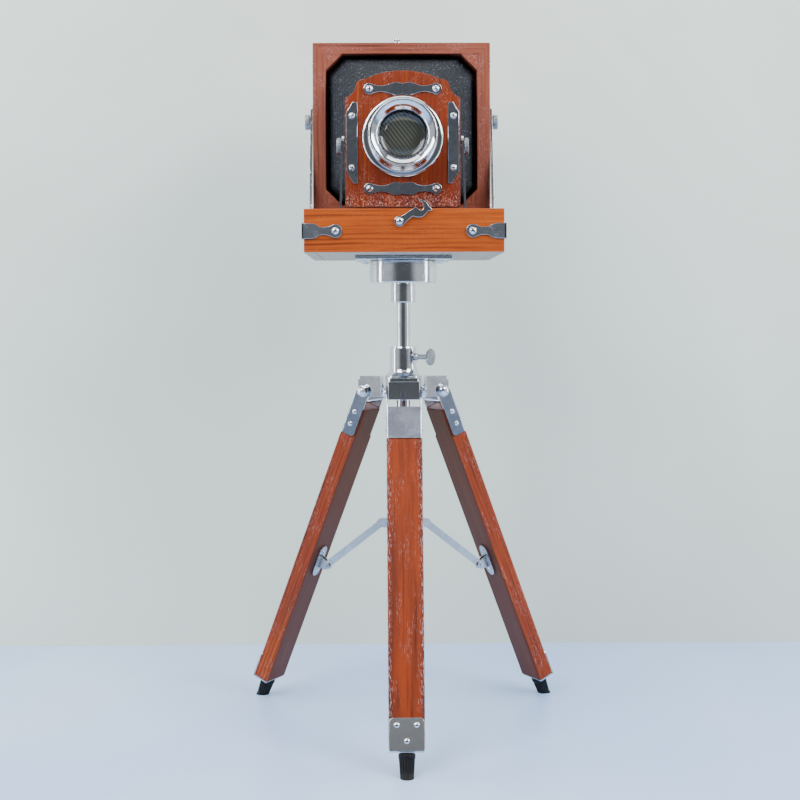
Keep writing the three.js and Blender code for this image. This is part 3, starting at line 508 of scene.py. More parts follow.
def refined(node, material, bevel, bend=None):
    # the CAD solid with its edges eased; bend is (a test of an edge's ends, the bend's radius)
    source = frame["nodes"][node]
    work = bmesh.new()
    work.from_mesh(source.data)
    bmesh.ops.remove_doubles(work, verts=work.verts, dist=1e-5)
    bmesh.ops.dissolve_limit(work, angle_limit=math.radians(1.0), verts=work.verts, edges=work.edges)
    if bend:
        bends = [e for e in work.edges if bend[0](*(v.co / mm for v in e.verts))]
        bmesh.ops.bevel(work, geom=bends, offset=bend[1] * mm, offset_type="OFFSET",
                        segments=edgeSteps["bend"], profile=0.5, affect="EDGES", clamp_overlap=True)
    corners = [e for e in work.edges if e.is_manifold and e.calc_face_angle() > math.radians(32)]
    bmesh.ops.bevel(work, geom=corners, offset=bevel * mm, offset_type="OFFSET",
                    segments=edgeSteps["edge"], profile=0.5, affect="EDGES", clamp_overlap=True)
    bmesh.ops.remove_doubles(work, verts=work.verts, dist=2e-6)
    data = bpy.data.meshes.new(node + ".fine")
    work.to_mesh(data)
    work.free()
    return dress(node + ".fine", data, material, source["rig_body"], (node,), 32, True)


def lathe(profile, steps=64, ribs=0, ribDepth=0.0, ribbed=None):
    # profile is (radius, height) pairs; ribbed is the height band that carries the knurling
    points, faces, rings = [], [], []
    for radius, height in profile:
        if radius < 1e-6:
            rings.append([len(points)])
            points.append((0, 0, height))
            continue
        ring = []
        for step in range(steps):
            angle = 2 * math.pi * step / steps
            reach = radius
            if ribs and ribbed[0] <= height <= ribbed[1]:
                reach -= ribDepth * (0.5 - 0.5 * math.cos(angle * ribs))
            ring.append(len(points))
            points.append((reach * math.cos(angle), reach * math.sin(angle), height))
        rings.append(ring)
    for low, high in zip(rings, rings[1:]):
        if len(low) == 1 and len(high) == 1:
            continue
        for step in range(steps):
            after = (step + 1) % steps
            if len(low) == 1:
                faces.append([low[0], high[after], high[step]])
            elif len(high) == 1:
                faces.append([low[step], low[after], high[0]])
            else:
                faces.append([low[step], low[after], high[after], high[step]])
    return points, faces


def moved(mesh, matrix):
    points, faces = mesh
    return [matrix @ Vector(p) for p in points], faces


def arc(centre, radius, start, end, steps=8):
    # points on an arc, in degrees
    return [(centre[0] + radius * math.cos(math.radians(start + (end - start) * i / steps)),
             centre[1] + radius * math.sin(math.radians(start + (end - start) * i / steps)))
            for i in range(steps + 1)]


def quad(start, control, end, steps=6):
    # the points after start on a quadratic curve
    found = []
    for i in range(1, steps + 1):
        t = i / steps
        found.append(tuple((1 - t) ** 2 * start[k] + 2 * t * (1 - t) * control[k] + t * t * end[k]
                           for k in range(2)))
    return found


def tidied(outline):
    kept = []
    for p in outline:
        if not kept or math.dist(p, kept[-1]) > 0.02:
            kept.append(p)
    if math.dist(kept[0], kept[-1]) < 0.02:
        kept.pop()
    area = sum(a[0] * b[1] - b[0] * a[1] for a, b in zip(kept, kept[1:] + kept[:1]))
    return kept if area > 0 else kept[::-1]


def shrunk(outline, amount):
    # every point moved inwards along its own normal
    count = len(outline)
    found = []
    for i, p in enumerate(outline):
        before, after = Vector(outline[i - 1]), Vector(outline[(i + 1) % count])
        here = Vector(p)
        first, second = (here - before).normalized(), (after - here).normalized()
        lean = (first + second)
        lean = lean.normalized() if lean.length > 1e-6 else first
        inward = Vector((-lean.y, lean.x))
        cosine = max(0.45, abs(inward.dot(Vector((-first.y, first.x)))))
        found.append(tuple(here + inward * (amount / cosine)))
    return found


def slab(outline, thickness, ease=0.25, crown=0.0):
    # an outline in X and Z; its back lies at y 0 and its eased face towards -Y
    outline = tidied(outline)
    rings = [(outline, 0.0), (outline, ease - thickness),
             (shrunk(outline, ease * 0.3), ease * 0.3 - thickness), (shrunk(outline, ease), -thickness)]
    if crown:
        rings.append((shrunk(outline, ease + 1.0), -thickness - crown))
    points, faces, count = [], [], len(outline)
    for ring, depth in rings:
        points += [(x, depth, z) for x, z in ring]
    for level in range(len(rings) - 1):
        this, after = level * count, (level + 1) * count
        for i in range(count):
            j = (i + 1) % count
            faces.append([this + i, this + j, after + j, after + i])
    faces.append(list(range(count))[::-1])
    faces.append(list(range((len(rings) - 1) * count, len(rings) * count)))
    return points, faces


def screwHead(radius, height, slotTurn=0.0, slotHalf=None, slotDepth=0.5):
    # a domed head with a slot, its base at z 0
    slotHalf = slotHalf or radius * 0.13
    floorHeight = height * (1 - slotDepth)
    rows = []
    edges = [-1, -0.96, -0.86, -0.7, -0.5, -0.3]
    across = [radius * e for e in edges] + [-slotHalf]
    columns = [(x, False) for x in across] + [(-slotHalf, True), (slotHalf, True)]
    columns += [(-x, False) for x in reversed(across)]
    sweep = [-1, -0.97, -0.85, -0.65, -0.35, 0, 0.35, 0.65, 0.85, 0.97, 1]
    for x, low in columns:
        chord = math.sqrt(max(0.0, radius * radius - x * x))
        row = []
        for share in sweep:
            y = chord * share
            away = min(1.0, math.hypot(x, y) / radius)
            top = height * math.sqrt(max(0.0, 1 - away ** 2.4))
            row.append((x, y, min(top, floorHeight) if low else top))
        rows.append(row)
    points = [p for row in rows for p in row]
    width = len(sweep)
    faces = []
    for r in range(len(rows) - 1):
        for c in range(r * width, (r + 1) * width - 1):
            faces.append([c, c + width, c + width + 1, c + 1])
    return moved((points, faces), spun(slotTurn, "Z"))


def facing(x, y, z, direction):
    # a frame whose +Z points along direction
    turn = Vector((0, 0, 1)).rotation_difference(Vector(direction)).to_matrix().to_4x4()
    return at(x, y, z) @ turn


def screwsOn(name, spots, direction, radius, height, body, frameOf=None, material=None):
    meshes = []
    for x, y, z in spots:
        head = screwHead(radius, height, dice.uniform(0, 180))
        place = facing(x, y, z, direction)
        meshes.append(moved(head, (frameOf @ place) if frameOf else place))
    return piece(name, meshes, material or nickel, body, "nickel", sharp=50, weighted=False)


# wooden parts
refined("lens_board", boardWood, 0.7)
for node in ("bed_front_board", "bed_rear_board"):
    refined(node, bedAcross, 0.6)
for node in ("bed_left_board", "bed_right_board", "bed_floor"):
    refined(node, bedAlong, 0.5)
refined("rear_frame", frameWood, 0.7)
refined("rear_shell", shellWood, 0.7)
refined("back_panel", frameWood, 0.8)
for side in legAngles:
    refined("leg_" + side, legWoods[side], 0.7)
print("wood done")

# sheet metal that keeps its CAD shape
strapBend = {"face": 6.5, "edge": 12.8, "radius": 2.3}


def strapBends(side):
    # the two long outer edges of a leg's strap, where its sheet is bent
    toLeg = legFrame(side).inverted()

    def onBend(first, second):
        ends = [toLeg @ p for p in (first, second)]
        face, edge = strapBend["face"], strapBend["edge"]
        onLine = all(abs(p.x - face) < 0.1 and abs(abs(p.y) - edge) < 0.1 for p in ends)
        return onLine and abs(ends[0].z - ends[1].z) > 3
    return onBend


for side in legAngles:
    refined("leg_strap_" + side, strapSteel, 0.25,
            bend=(strapBends(side), strapBend["radius"]))
    refined("brace_bracket_" + side, steelLong, 0.25)
    refined("brace_link_" + side, steelLong, 0.25)
refined("spreader_hub", steelCross, 0.3)
refined("tripod_crown", nickel, 0.5)
refined("mount_plate", steelCross, 0.3)
refined("focus_track", nickel, 0.25)
refined("front_fork", nickel, 0.25)
refined("bed_hinge", steelCross, 0.25)
for side in ("left", "right"):
    refined("rear_strut_" + side, nickel, 0.3)
print("sheet metal done")

# column, pan head and clamp screw
column = {"rodRadius": 4.85, "sleeveRadius": 9.3, "panRadius": 24.8, "grooveDepth": 0.35}
collar = {"height": 22, "foot": 14.06, "neck": 9.81, "flare": 4.25, "flareRise": 7}
axisPlace = at(0, columnY, 0)


def columnPieces():
    low, high = boxOf("column_rod")
    r = column["rodRadius"]
    rod = lathe([(0, low.z), (r - 0.8, low.z), (r, low.z + 0.8),
                 (r, high.z - 0.6), (r - 0.6, high.z), (0, high.z)], 72)
    fine("column_rod", [moved(rod, axisPlace)], nickel, "column", "nickel")
    low, high = boxOf("column_sleeve")
    r = column["sleeveRadius"]
    inner = column["rodRadius"] + 0.3
    sleeve = lathe([(inner, low.z), (r - 0.7, low.z), (r - 0.2, low.z + 0.25), (r, low.z + 0.7),
                    (r, high.z - 1.6), (r - 0.3, high.z - 1.3), (r - 0.3, high.z - 1.0),
                    (r, high.z - 0.7), (r, high.z), (inner, high.z)], 84)
    fine("column_sleeve", [moved(sleeve, axisPlace)], nickel, "column", "nickel")
    low, high = boxOf("pan_head")
    r, groove = column["panRadius"], column["grooveDepth"]
    seam = high.z - 2.6
    pan = lathe([(0, low.z), (r - 1.1, low.z), (r - 0.3, low.z + 0.3), (r, low.z + 1.1), (r, seam - 0.4),
                 (r - groove, seam - 0.2), (r - groove, seam + 0.2), (r, seam + 0.4), (r, high.z - 0.7),
                 (r - 0.2, high.z - 0.2), (r - 0.7, high.z), (0, high.z)], 128)
    fine("pan_head", [moved(pan, axisPlace)], nickel, "camera", "nickel")
    plate = boxOf("mount_plate")
    reach = (plate[1].x - plate[0].x) / 2 - 6.5
    spots = [(sx * reach, columnY + sy * reach, plate[0].z + 0.05) for sx in (-1, 1) for sy in (-1, 1)]
    screwsOn("mount_screws", spots, (0, 0, -1), 3.1, 1.6, "camera")
    # the collar's turned skin over the crown
    top = boxOf("tripod_crown")[1].z
    base = top - collar["height"]
    foot, neck = collar["foot"], collar["neck"]
    flare = [(foot, base - 0.4), (foot, base + 0.55)]
    for step in range(1, 9):
        angle = step / 8 * math.pi / 2
        rise = collar["flareRise"] * (1 - math.cos(angle))
        flare.append((foot - collar["flare"] * math.sin(angle), base + 0.6 + rise))
    flare += [(neck, top - 1.5), (9.6, top - 1.25), (9.6, top - 1.0), (neck, top - 0.75),
              (9.5, top + 0.05), (5.2, top + 0.08)]
    piece("collar_skin", [moved(lathe(flare, 96), axisPlace)], nickel, "crown", "nickel")


columnPieces()

thumb = {"angle": -30, "height": 271.6, "start": 10.05, "shankEnd": 21.6, "radius": 6.2, "thickness": 2.6}


def thumbScrew():
    start, end, r = thumb["start"], thumb["shankEnd"], thumb["radius"]
    top = end + thumb["thickness"]
    profile = [(0, start), (2.6, start), (2.6, start + 2), (1.9, start + 2.6),
               (1.9, end - 2.2), (2.6, end - 0.6), (3.4, end), (r - 0.8, end),
               (r - 0.15, end + 0.35), (r, end + 0.7), (r, top - 0.7), (r - 0.15, top - 0.35),
               (r - 0.8, top), (r - 2, top + 0.1), (2.4, top - 0.3), (0, top - 0.2)]
    turned = lathe(profile, 120, 24, 0.5, (end + 0.3, top - 0.3))
    place = at(0, columnY, thumb["height"]) @ spun(thumb["angle"], "Z") @ spun(90, "Y")
    piece("thumb_screw.fine", [moved(turned, place)], tread, "thumb_screw", "nickel",
          ["column_thumb_screw"])


thumbScrew()

# legs' fittings, in each leg's own frame
fitting = {"half": 6.5, "strapHalf": 12.8, "boltRadius": 4.0, "boltHeight": 2.6, "plateFold": 249.16,
           "plateWide": 11.6, "plateHigh": 20, "pinDrop": 142.2, "bracketReach": 8,
           "rubberTop": 250.66, "legLength": 266.46, "rubberRadius": 5.7, "tipRadius": 4.6,
           "strapScrewX": 0.9, "strapScrews": (-17.5, -27.5)}


def hingeBolt(side, place):
    seat = fitting["strapHalf"] + 0.12
    r = fitting["boltRadius"]
    washed = seat + 0.7
    washer = lathe([(0, seat), (r + 0.5, seat), (r + 0.5, seat + 0.55),
                    (r + 0.3, washed), (0, washed)], 40)
    head = moved(screwHead(r, fitting["boltHeight"] - 0.4, dice.uniform(0, 180)), at(0, 0, washed))
    nutTop = washed + 2.0
    nut = lathe([(0, washed), (r, washed), (r, nutTop - 0.3), (r - 0.5, nutTop), (0, nutTop)], 6)
    tip = lathe([(0, nutTop), (1.9, nutTop), (1.9, nutTop + 0.5),
                 (1.2, nutTop + 0.9), (0, nutTop + 1.0)], 24)
    shank = lathe([(0, -seat - 0.4), (2.3, -seat - 0.4), (2.3, seat + 0.4), (0, seat + 0.4)], 32)
    forward = place @ spun(90, "X")
    back = place @ spun(-90, "X")
    meshes = [moved(m, forward) for m in (washer, head, shank)]
    meshes += [moved(m, back) for m in (washer, nut, tip)]
    fine("hinge_bolt_" + side, meshes, nickel, "leg_" + side, "nickel", sharp=40)


def footPlate(side, place):
    wide, fold = fitting["plateWide"], fitting["plateFold"]
    low, top, corner = -fold - 1.2, -fold + fitting["plateHigh"], 3.0
    outline = [(-wide, low), (wide, low)]
    outline += arc((wide - corner, top - corner), corner, 0, 90)
    outline += arc((corner - wide, top - corner), corner, 90, 180)
    face = moved(slab(outline, 1.25, 0.3), at(fitting["half"] + 0.25, 0, 0) @ spun(90, "Z"))
    inner, outer = 1 - fitting["half"], fitting["half"] + 1.0
    sole = [(inner, -wide), (outer, -wide), (outer, wide), (inner, wide)]
    under = moved(slab(sole, 1.2, 0.25), at(0, 0, -fold) @ spun(90, "X"))
    body = "leg_" + side
    fine("foot_plate_" + side, [moved(face, place), moved(under, place)], steelLong, body, "steel_plate")
    out = fitting["half"] + 1.45
    spots = [(out, y, z) for y, z in ((-6.6, top - 4.6), (6.6, top - 4.6), (0, low + 6.4))]
    screwsOn("foot_screws_" + side, spots, (1, 0, 0), 1.9, 0.9, body, place)


def rubberFoot(side, place):
    top, length = -fitting["rubberTop"] - 0.3, -fitting["legLength"]
    r, tip = fitting["rubberRadius"], fitting["tipRadius"]
    profile = [(0, length - tip), (tip - 1.2, length - tip),
               (tip - 0.2, length - tip + 0.6), (tip, length - tip + 1.6)]
    for step in range(9):
        share = step / 8
        rise = (top - 3.6 - length - 1.2) * share
        profile.append((tip + (r - 0.35 - tip) * share, length + 1.2 + rise))
    profile += [(r - 0.1, top - 3.1), (r + 0.05, top - 2.5), (r, top - 0.9),
                (r - 0.25, top - 0.3), (r - 0.8, top), (0, top)]
    points, faces = moved(lathe(profile, 120, 20, 0.45, (length + 1.3, top - 3.4)), place)
    points = [Vector((p.x, p.y, max(0.0, p.z))) for p in points]
    fine("rubber_foot_" + side, [(points, faces)], rubber, "leg_" + side, "rubber")


for side in legAngles:
    place = legFrame(side)
    body = "leg_" + side
    hingeBolt(side, place)
    footPlate(side, place)
    rubberFoot(side, place)
    edge = fitting["strapHalf"] - 0.05
    for flank, way in (("_a", 1), ("_b", -1)):
        spots = [(fitting["strapScrewX"], way * edge, z) for z in fitting["strapScrews"]]
        screwsOn("strap_screws_" + side + flank, spots, (0, way, 0), 2.0, 0.9, body, place)
    back = -fitting["half"] - 1.45
    spots = [(back, 0, -fitting["pinDrop"] + s * fitting["bracketReach"]) for s in (-1, 1)]
    screwsOn("bracket_screws_" + side, spots, (-1, 0, 0), 1.9, 0.9, body, place)
print("legs done")

# lens
lens = {"flange": 30, "flangeSlope": 26, "barrel": 24.0, "beadAt": 23.0, "bead": (1.0, 1.9), "bore": 17.3,
        "glass": 17, "glassSeat": 7.3, "dome": 2.9}


def lensPieces():
    face = boxOf("lens_board")[0].y
    centre = middleOf("lens_barrel")
    place = at(0, face, centre.z) @ spun(90, "X")
    flange, barrel, bore = lens["flange"], lens["barrel"], lens["bore"]
    profile = [(15, -10.4), (19.5, -10.4), (19.5, 0.3), (flange, 0.3), (flange, 1.5), (29.7, 2.1),
               (29.1, 2.6), (28.4, 2.75), (27.2, 2.9), (lens["flangeSlope"], 3.05), (25.4, 3.3),
               (24.7, 3.9), (24.2, 4.9), (barrel, 6), (barrel, 9.0), (23.7, 9.3), (23.7, 9.9),
               (barrel, 10.2), (barrel, 20.0), (24.3, 20.8)]
    wide, deep = lens["bead"]
    for angle in (math.radians(a) for a in (-50, -20, 10, 40, 65, 90)):
        profile.append((barrel + wide * math.cos(angle), lens["beadAt"] + deep * math.sin(angle)))
    for step in range(1, 13):
        share = step / 12
        profile.append((barrel - (barrel - bore) * share, lens["beadAt"] + deep - 4.6 * share ** 1.6))
    profile += [(bore, 19.6), (17.15, 19.2), (bore, 18.8), (bore, 16.4), (17.15, 16.0), (bore, 15.6),
                (bore, 7.2), (15, 7.0), (15, -10.4)]
    fine("lens_barrel", [moved(lathe(profile, 144), place)], nickel, "front_standard", "nickel", sharp=38)
    seat, r = lens["glassSeat"], lens["glass"]
    glass = [(0, seat), (r, seat + 1), (r, seat + 4)]
    for step in range(1, 12):
        angle = step / 12 * math.pi / 2
        glass.append((r * math.cos(angle), seat + 4 + lens["dome"] * math.sin(angle)))
    glass.append((0, seat + 4 + lens["dome"]))
    fine("lens_glass", [moved(lathe(glass, 96), place)], smoked, "front_standard", "lens_glass")


lensPieces()

# plates on the lens board
trims = {"eyeAt": 24.6, "eye": 4.2, "thickness": 1.1, "screw": 2.6, "screwHeight": 1.9,
         "halves": [(0, 4.0), (2.6, 4.6), (5.2, 5.0), (8.2, 4.3),
                    (11.6, 2.9), (15.5, 2.2), (18.6, 2.5), (20.6, 3.1)],
         "sideInner": 33.4, "sideOuter": 41.7, "sideScrew": 37.6}


def wavyOutline():
    upper = []
    halves = trims["halves"]
    for (x0, h0), (x1, h1) in zip(halves, halves[1:]):
        for step in range(3):
            share = step / 3
            eased = share * share * (3 - 2 * share)
            upper.append((x0 + (x1 - x0) * share, h0 + (h1 - h0) * (eased * 0.5 + share * 0.5)))
    eye = trims["eye"]
    right = upper + list(arc((trims["eyeAt"], 0), eye, 133, -133, 18))
    right += [(x, -h) for x, h in reversed(upper)]
    return right + [(-x, z) for x, z in reversed(right)]


def boardPlates():
    face = boxOf("lens_board")[0].y - 0.15
    depth = trims["thickness"]
    for node in ("board_trim_top", "board_trim_bottom"):
        centre = middleOf(node)
        plate = moved(slab(wavyOutline(), depth, 0.42), at(0, face, centre.z))
        fine(node, [plate], plateCross, "front_standard", "steel_plate")
        spots = [(s * trims["eyeAt"], face - depth, centre.z) for s in (-1, 1)]
        screwsOn(node + "_screws", spots, (0, -1, 0), trims["screw"], trims["screwHeight"],
                 "front_standard")
    for node, side in (("board_trim_left", -1), ("board_trim_right", 1)):
        low, high = boxOf(node)
        inner, outer = trims["sideInner"], trims["sideOuter"]
        outline = [(inner, low.z), (outer - 5.2, low.z), (outer, low.z + 9.2), (outer, high.z - 7.6),
                   (outer - 4.4, high.z), (inner, high.z)]
        outline = [(side * x, z) for x, z in outline]
        plate = moved(slab(outline, depth, 0.45), at(0, face, 0))
        fine(node, [plate], plateLong, "front_standard", "steel_plate")
        spots = [(side * trims["sideScrew"], face - depth, z) for z in (low.z + 11.6, high.z - 10.2)]
        screwsOn(node + "_screws", spots, (0, -1, 0), 2.4, 1.8, "front_standard")


boardPlates()

# corner straps and latch
strap = {"length": 28.2, "broad": 5.4, "waist": 2.6, "eye": 4.8, "thickness": 1.2}


def cornerStraps():
    eyeAt = strap["length"] - strap["eye"]
    broad, waist, eye = strap["broad"], strap["waist"], strap["eye"]
    lower = [(0, -broad), (6, -broad)]
    for control, end in (((9.5, -broad), (12, -3.2)), ((14.5, -waist + 0.2), (18, -3.0))):
        lower += quad(lower[-1], control, end)
    lower += arc((eyeAt, 0), eye, -127, 0, 10)
    outline = lower + [(x, -z) for x, z in reversed(lower)]
    height = middleOf("corner_strap_left").z
    front = boxOf("corner_strap_left")[0]
    edge = front.x + strap["thickness"]
    eyeX = -front.x - eyeAt
    for side, node in ((-1, "corner_strap_left"), (1, "corner_strap_right")):
        plate = slab(outline, strap["thickness"], 0.45)
        face = moved(plate, at(front.x, front.y + strap["thickness"], height))
        flank = ([Vector((edge + p[1], front.y + p[0], height + p[2])) for p in plate[0]], plate[1])
        meshes = [face, flank]
        if side > 0:
            meshes = [([Vector((-p[0], p[1], p[2])) for p in m[0]], m[1]) for m in meshes]
        fine(node, meshes, steelCross, "camera", "steel_plate")
        screwsOn(node + "_screws", [(side * eyeX, front.y, height)], (0, -1, 0), 2.6, 1.7, "camera")
        spots = [(side * -front.x, front.y + eyeAt, height)]
        screwsOn(node + "_side_screws", spots, (side, 0, 0), 2.6, 1.7, "camera")


cornerStraps()


hook = {"pivotX": -3.2, "pivotZ": 367.6, "thickness": 1.7}


def latch():
    pivot = Vector((hook["pivotX"], boxOf("bed_front_board")[0].y - 0.3, hook["pivotZ"]))
    outline = arc((0, 0), 3.7, 75, 320, 16)
    for control, end in (((7, 2.2), (9.5, 3.4)), ((13.5, 1.6), (16.6, 3.4)), ((18.6, 5), (19.6, 6.9))):
        outline += quad(outline[-1], control, end)
    outline.append((22.6, 7.4))
    for control, end in (((22.8, 8.8), (20.4, 10.4)), ((19, 14), (13.4, 15.6)),
                         ((12.4, 14.6), (14.6, 13.8)), ((17.6, 11.4), (16.6, 8.8)),
                         ((15, 6.6), (13.4, 8.4))):
        outline += quad(outline[-1], control, end)
    outline += [(11.2, 10), (2.0, 4.0)]
    plate = moved(slab(outline, hook["thickness"], 0.45), at(*pivot))
    fine("latch_hook", [plate], nickel, "hook", "nickel")
    screwsOn("latch_screw", [(pivot.x, pivot.y - 1.65, pivot.z)], (0, -1, 0), 2.7, 1.7, "hook")
    base = boxOf("latch_stud")[0]
    centre = middleOf("latch_stud")
    stud = lathe([(0, 0), (3.2, 0), (3.2, 0.5), (2.9, 0.75), (1.6, 0.8), (1.45, 1.2), (1.6, 1.8),
                  (2.4, 2.2), (2.7, 2.5), (2.65, 2.95), (2.1, 3.25), (0, 3.4)], 40)
    fine("latch_stud", [moved(stud, at(centre.x, centre.y, base.z))], nickel, "camera", "nickel")


latch()

# clamp knobs
knobs = {"front": {"shank": 43.0, "radius": 6.3, "thickness": 3.2, "teeth": 26},
         "rear": {"shank": 70.8, "radius": 6.0, "thickness": 4.0, "teeth": 24}}


def clampKnob(where, side):
    look = knobs[where]
    node = where + "_knob_" + side
    low, high = boxOf(node)
    sign = 1 if side == "right" else -1
    end = high.x if sign > 0 else -low.x
    r, start = look["radius"], end - look["thickness"]
    profile = [(0, look["shank"]), (1.8, look["shank"]), (1.8, start - 0.2), (r - 1.6, start),
               (r - 0.5, start + 0.1), (r, start + 0.6), (r, end - 0.6), (r - 0.3, end - 0.15),
               (r - 0.9, end), (r - 1.6, end - 0.05), (r - 2.2, end - 0.5), (1.8, end - 0.55),
               (1.2, end - 0.1), (0, end)]
    centre = middleOf(node)
    place = at(0, centre.y, centre.z) @ spun(sign * 90, "Y")
    mesh = lathe(profile, look["teeth"] * 5, look["teeth"], 0.35, (start + 0.3, end - 0.3))
    fine(node, [moved(mesh, place)], tread, node, "nickel", sharp=40)


for where in knobs:
    for side in ("left", "right"):
        clampKnob(where, side)
print("fittings done")

# bellows
bellows = {"folds": 11, "perFold": 6, "depth": 3.4, "wall": 0.9, "sidePoints": 7,
           "front": (70, 84), "rear": 117, "frontChamfer": 13, "travel": 36}


def octagonRing(width, height, chamfer, lift, inset):
    a, b = width / 2 - inset, height / 2 - inset
    c = chamfer - inset * 0.586
    corners = [(a, c - b), (a, b - c), (a - c, b), (c - a, b),
               (-a, b - c), (-a, c - b), (c - a, -b), (a - c, -b)]
    ring = []
    for (x0, z0), (x1, z1) in zip(corners, corners[1:] + corners[:1]):
        for step in range(bellows["sidePoints"]):
            share = step / bellows["sidePoints"]
            ring.append((x0 + (x1 - x0) * share, z0 + (z1 - z0) * share + lift))
    return ring


def makeBellows():
    low, high = boxOf("bellows")
    lensHeight = middleOf("lens_barrel").z
    rearHeight = low.z + bellows["rear"] / 2
    start, end = low.y + 0.1, high.y - 0.1
    count = bellows["folds"] * bellows["perFold"]
    (wide, tall), rear = bellows["front"], bellows["rear"]
    rings = []
    for index in range(count + 1):
        share = index / count
        phase = (index % bellows["perFold"]) / bellows["perFold"]
        fold = 0.5 - 0.5 * math.cos(2 * math.pi * phase)  # 0 on a ridge, 1 in a valley
        fold = fold ** 0.8
        width = wide + (rear - wide) * share
        height = tall + (rear - tall) * share
        lift = lensHeight + (rearHeight - lensHeight) * share
        inset = 0.4 + bellows["depth"] * fold
        rings.append((start + (end - start) * share, width, height, lift, inset))
    points, faces = [], []
    for wall in (0, bellows["wall"]):
        order = rings if wall == 0 else rings[::-1]
        for y, width, height, lift, inset in order:
            for x, z in octagonRing(width, height, bellows["frontChamfer"], lift, inset + wall):
                ripple = 0.18 * math.sin(x * 0.21 + y * 0.5) * math.sin(z * 0.17 + y * 0.31)
                points.append((x, y + ripple if start + 1 < y < end - 1 else y, z))
    each = 8 * bellows["sidePoints"]
    total = len(points) // each
    for ring in range(total):
        after = (ring + 1) % total
        for i in range(each):
            j = (i + 1) % each
            faces.append([ring * each + i, ring * each + j, after * each + j, after * each + i])
    made = piece("bellows.folded", [(points, faces)], cloth, "camera", "bellows_cloth", ["bellows"],
                 sharp=180, weighted=False)
    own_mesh(made)


makeBellows()
print("bellows done")

# small fittings on the camera
screwRows = {"frame": (502.5, 390.0), "back": (386, 447.8, 509.5), "backReach": 62}


def cameraScrews():
    low, high = boxOf("rear_frame")
    spots = [(high.x, (low.y + high.y) / 2, z) for z in screwRows["frame"]]
    screwsOn("frame_screws_right", spots, (1, 0, 0), 2.3, 1.3, "camera")
    screwsOn("frame_screws_left", [(-x, y, z) for x, y, z in spots], (-1, 0, 0), 2.3, 1.3, "camera")
    back = boxOf("back_panel")[1]
    spots = [(sx * screwRows["backReach"], back.y, z) for sx in (-1, 1) for z in screwRows["back"]]
    screwsOn("back_screws", spots, (0, 1, 0), 2.4, 1.4, "camera")


cameraScrews()

turnButton = {"length": 15, "width": 6, "thickness": 1.4}
beading = {"width": 3.08, "inset": 3.4, "thickness": 1.8}


def backFittings():
    # turn buttons that hold the ground glass, and the beading round its window
    panel = boxOf("back_panel")[1]
    glassLow, glassHigh = boxOf("ground_glass")
    back = spun(180, "Z")
    half = turnButton["length"] / 2
    end = turnButton["width"] / 2
    outline = arc((half - end, 0), end, -90, 90, 8) + arc((end - half, 0), end, 90, 270, 8)
    centreZ = (glassLow.z + glassHigh.z) / 2
    reach = (glassHigh.x - glassLow.x) / 2 + 5.5
    spots = [(-reach, centreZ, 0), (reach, centreZ, 0),
             (0, centreZ + reach, 90), (0, centreZ - reach, 90)]
    meshes = []
    for x, z, turn in spots:
        plate = slab(outline, turnButton["thickness"], 0.35)
        place = at(x, panel.y + 0.1, z) @ spun(turn, "Y") @ back
        meshes.append(moved(plate, place))
    piece("turn_buttons", meshes, nickel, "camera", "nickel")
    spots = [(x, panel.y + 1.45, z) for x, z, turn in spots]
    screwsOn("turn_button_screws", spots, (0, 1, 0), 2.0, 1.1, "camera")
    inner = (glassHigh.x - glassLow.x) / 2 - beading["inset"]
    outer = inner + beading["width"]
    strip = slab([(-outer, outer), (outer, outer), (inner, inner), (-inner, inner)],
                 beading["thickness"], 0.6)
    strips = []
    for turn in range(4):
        place = at(0, glassHigh.y + 0.1, centreZ) @ spun(turn * 90, "Y") @ back
        strips.append(moved(strip, place))
    piece("screen_beading", strips, shellWood, "camera", "body_wood")
    refined("ground_glass", screen, 0.3)


backFittings()

rack = {"pitch": 2.4, "half": 2.4, "height": 1.6}


def focusRack():
    # the toothed rack in the track's slot, and the screws along the track
    low, high = boxOf("focus_track")
    start, end = low.y + 12, high.y - 12
    base = boxOf("bed_floor")[1].z + 0.05
    pitch, crest = rack["pitch"], base + rack["height"]
    root = base + rack["height"] * 0.45
    outline = [(start, base), (end, base)]
    y = end
    while y - pitch > start:
        outline += [(y, crest), (y - pitch * 0.3, crest),
                    (y - pitch * 0.5, root), (y - pitch * 0.8, root)]
        y -= pitch
    outline.append((start, crest))
    outline = tidied(outline)
    points, count = [], len(outline)
    for side in (-1, 1):
        points += [(side * rack["half"], y, z) for y, z in outline]
    faces = [[i, (i + 1) % count, count + (i + 1) % count, count + i] for i in range(count)]
    faces += [list(range(count))[::-1], list(range(count, 2 * count))]
    piece("focus_rack", [(points, faces)], steelLong, "camera", "steel_plate", sharp=20)
    top = low.z + 1.5
    spots = [(sx * 20, y, top) for sx in (-1, 1) for y in (low.y + 6, high.y - 6)]
    screwsOn("track_screws", spots, (0, 0, 1), 2.3, 1.0, "camera")


focusRack()
print("camera fittings done")


# stage and light
stage = {"floor": shade(174, 204, 250), "wall": shade(199, 208, 196), "wallY": 0.2353, "reach": 3.0}


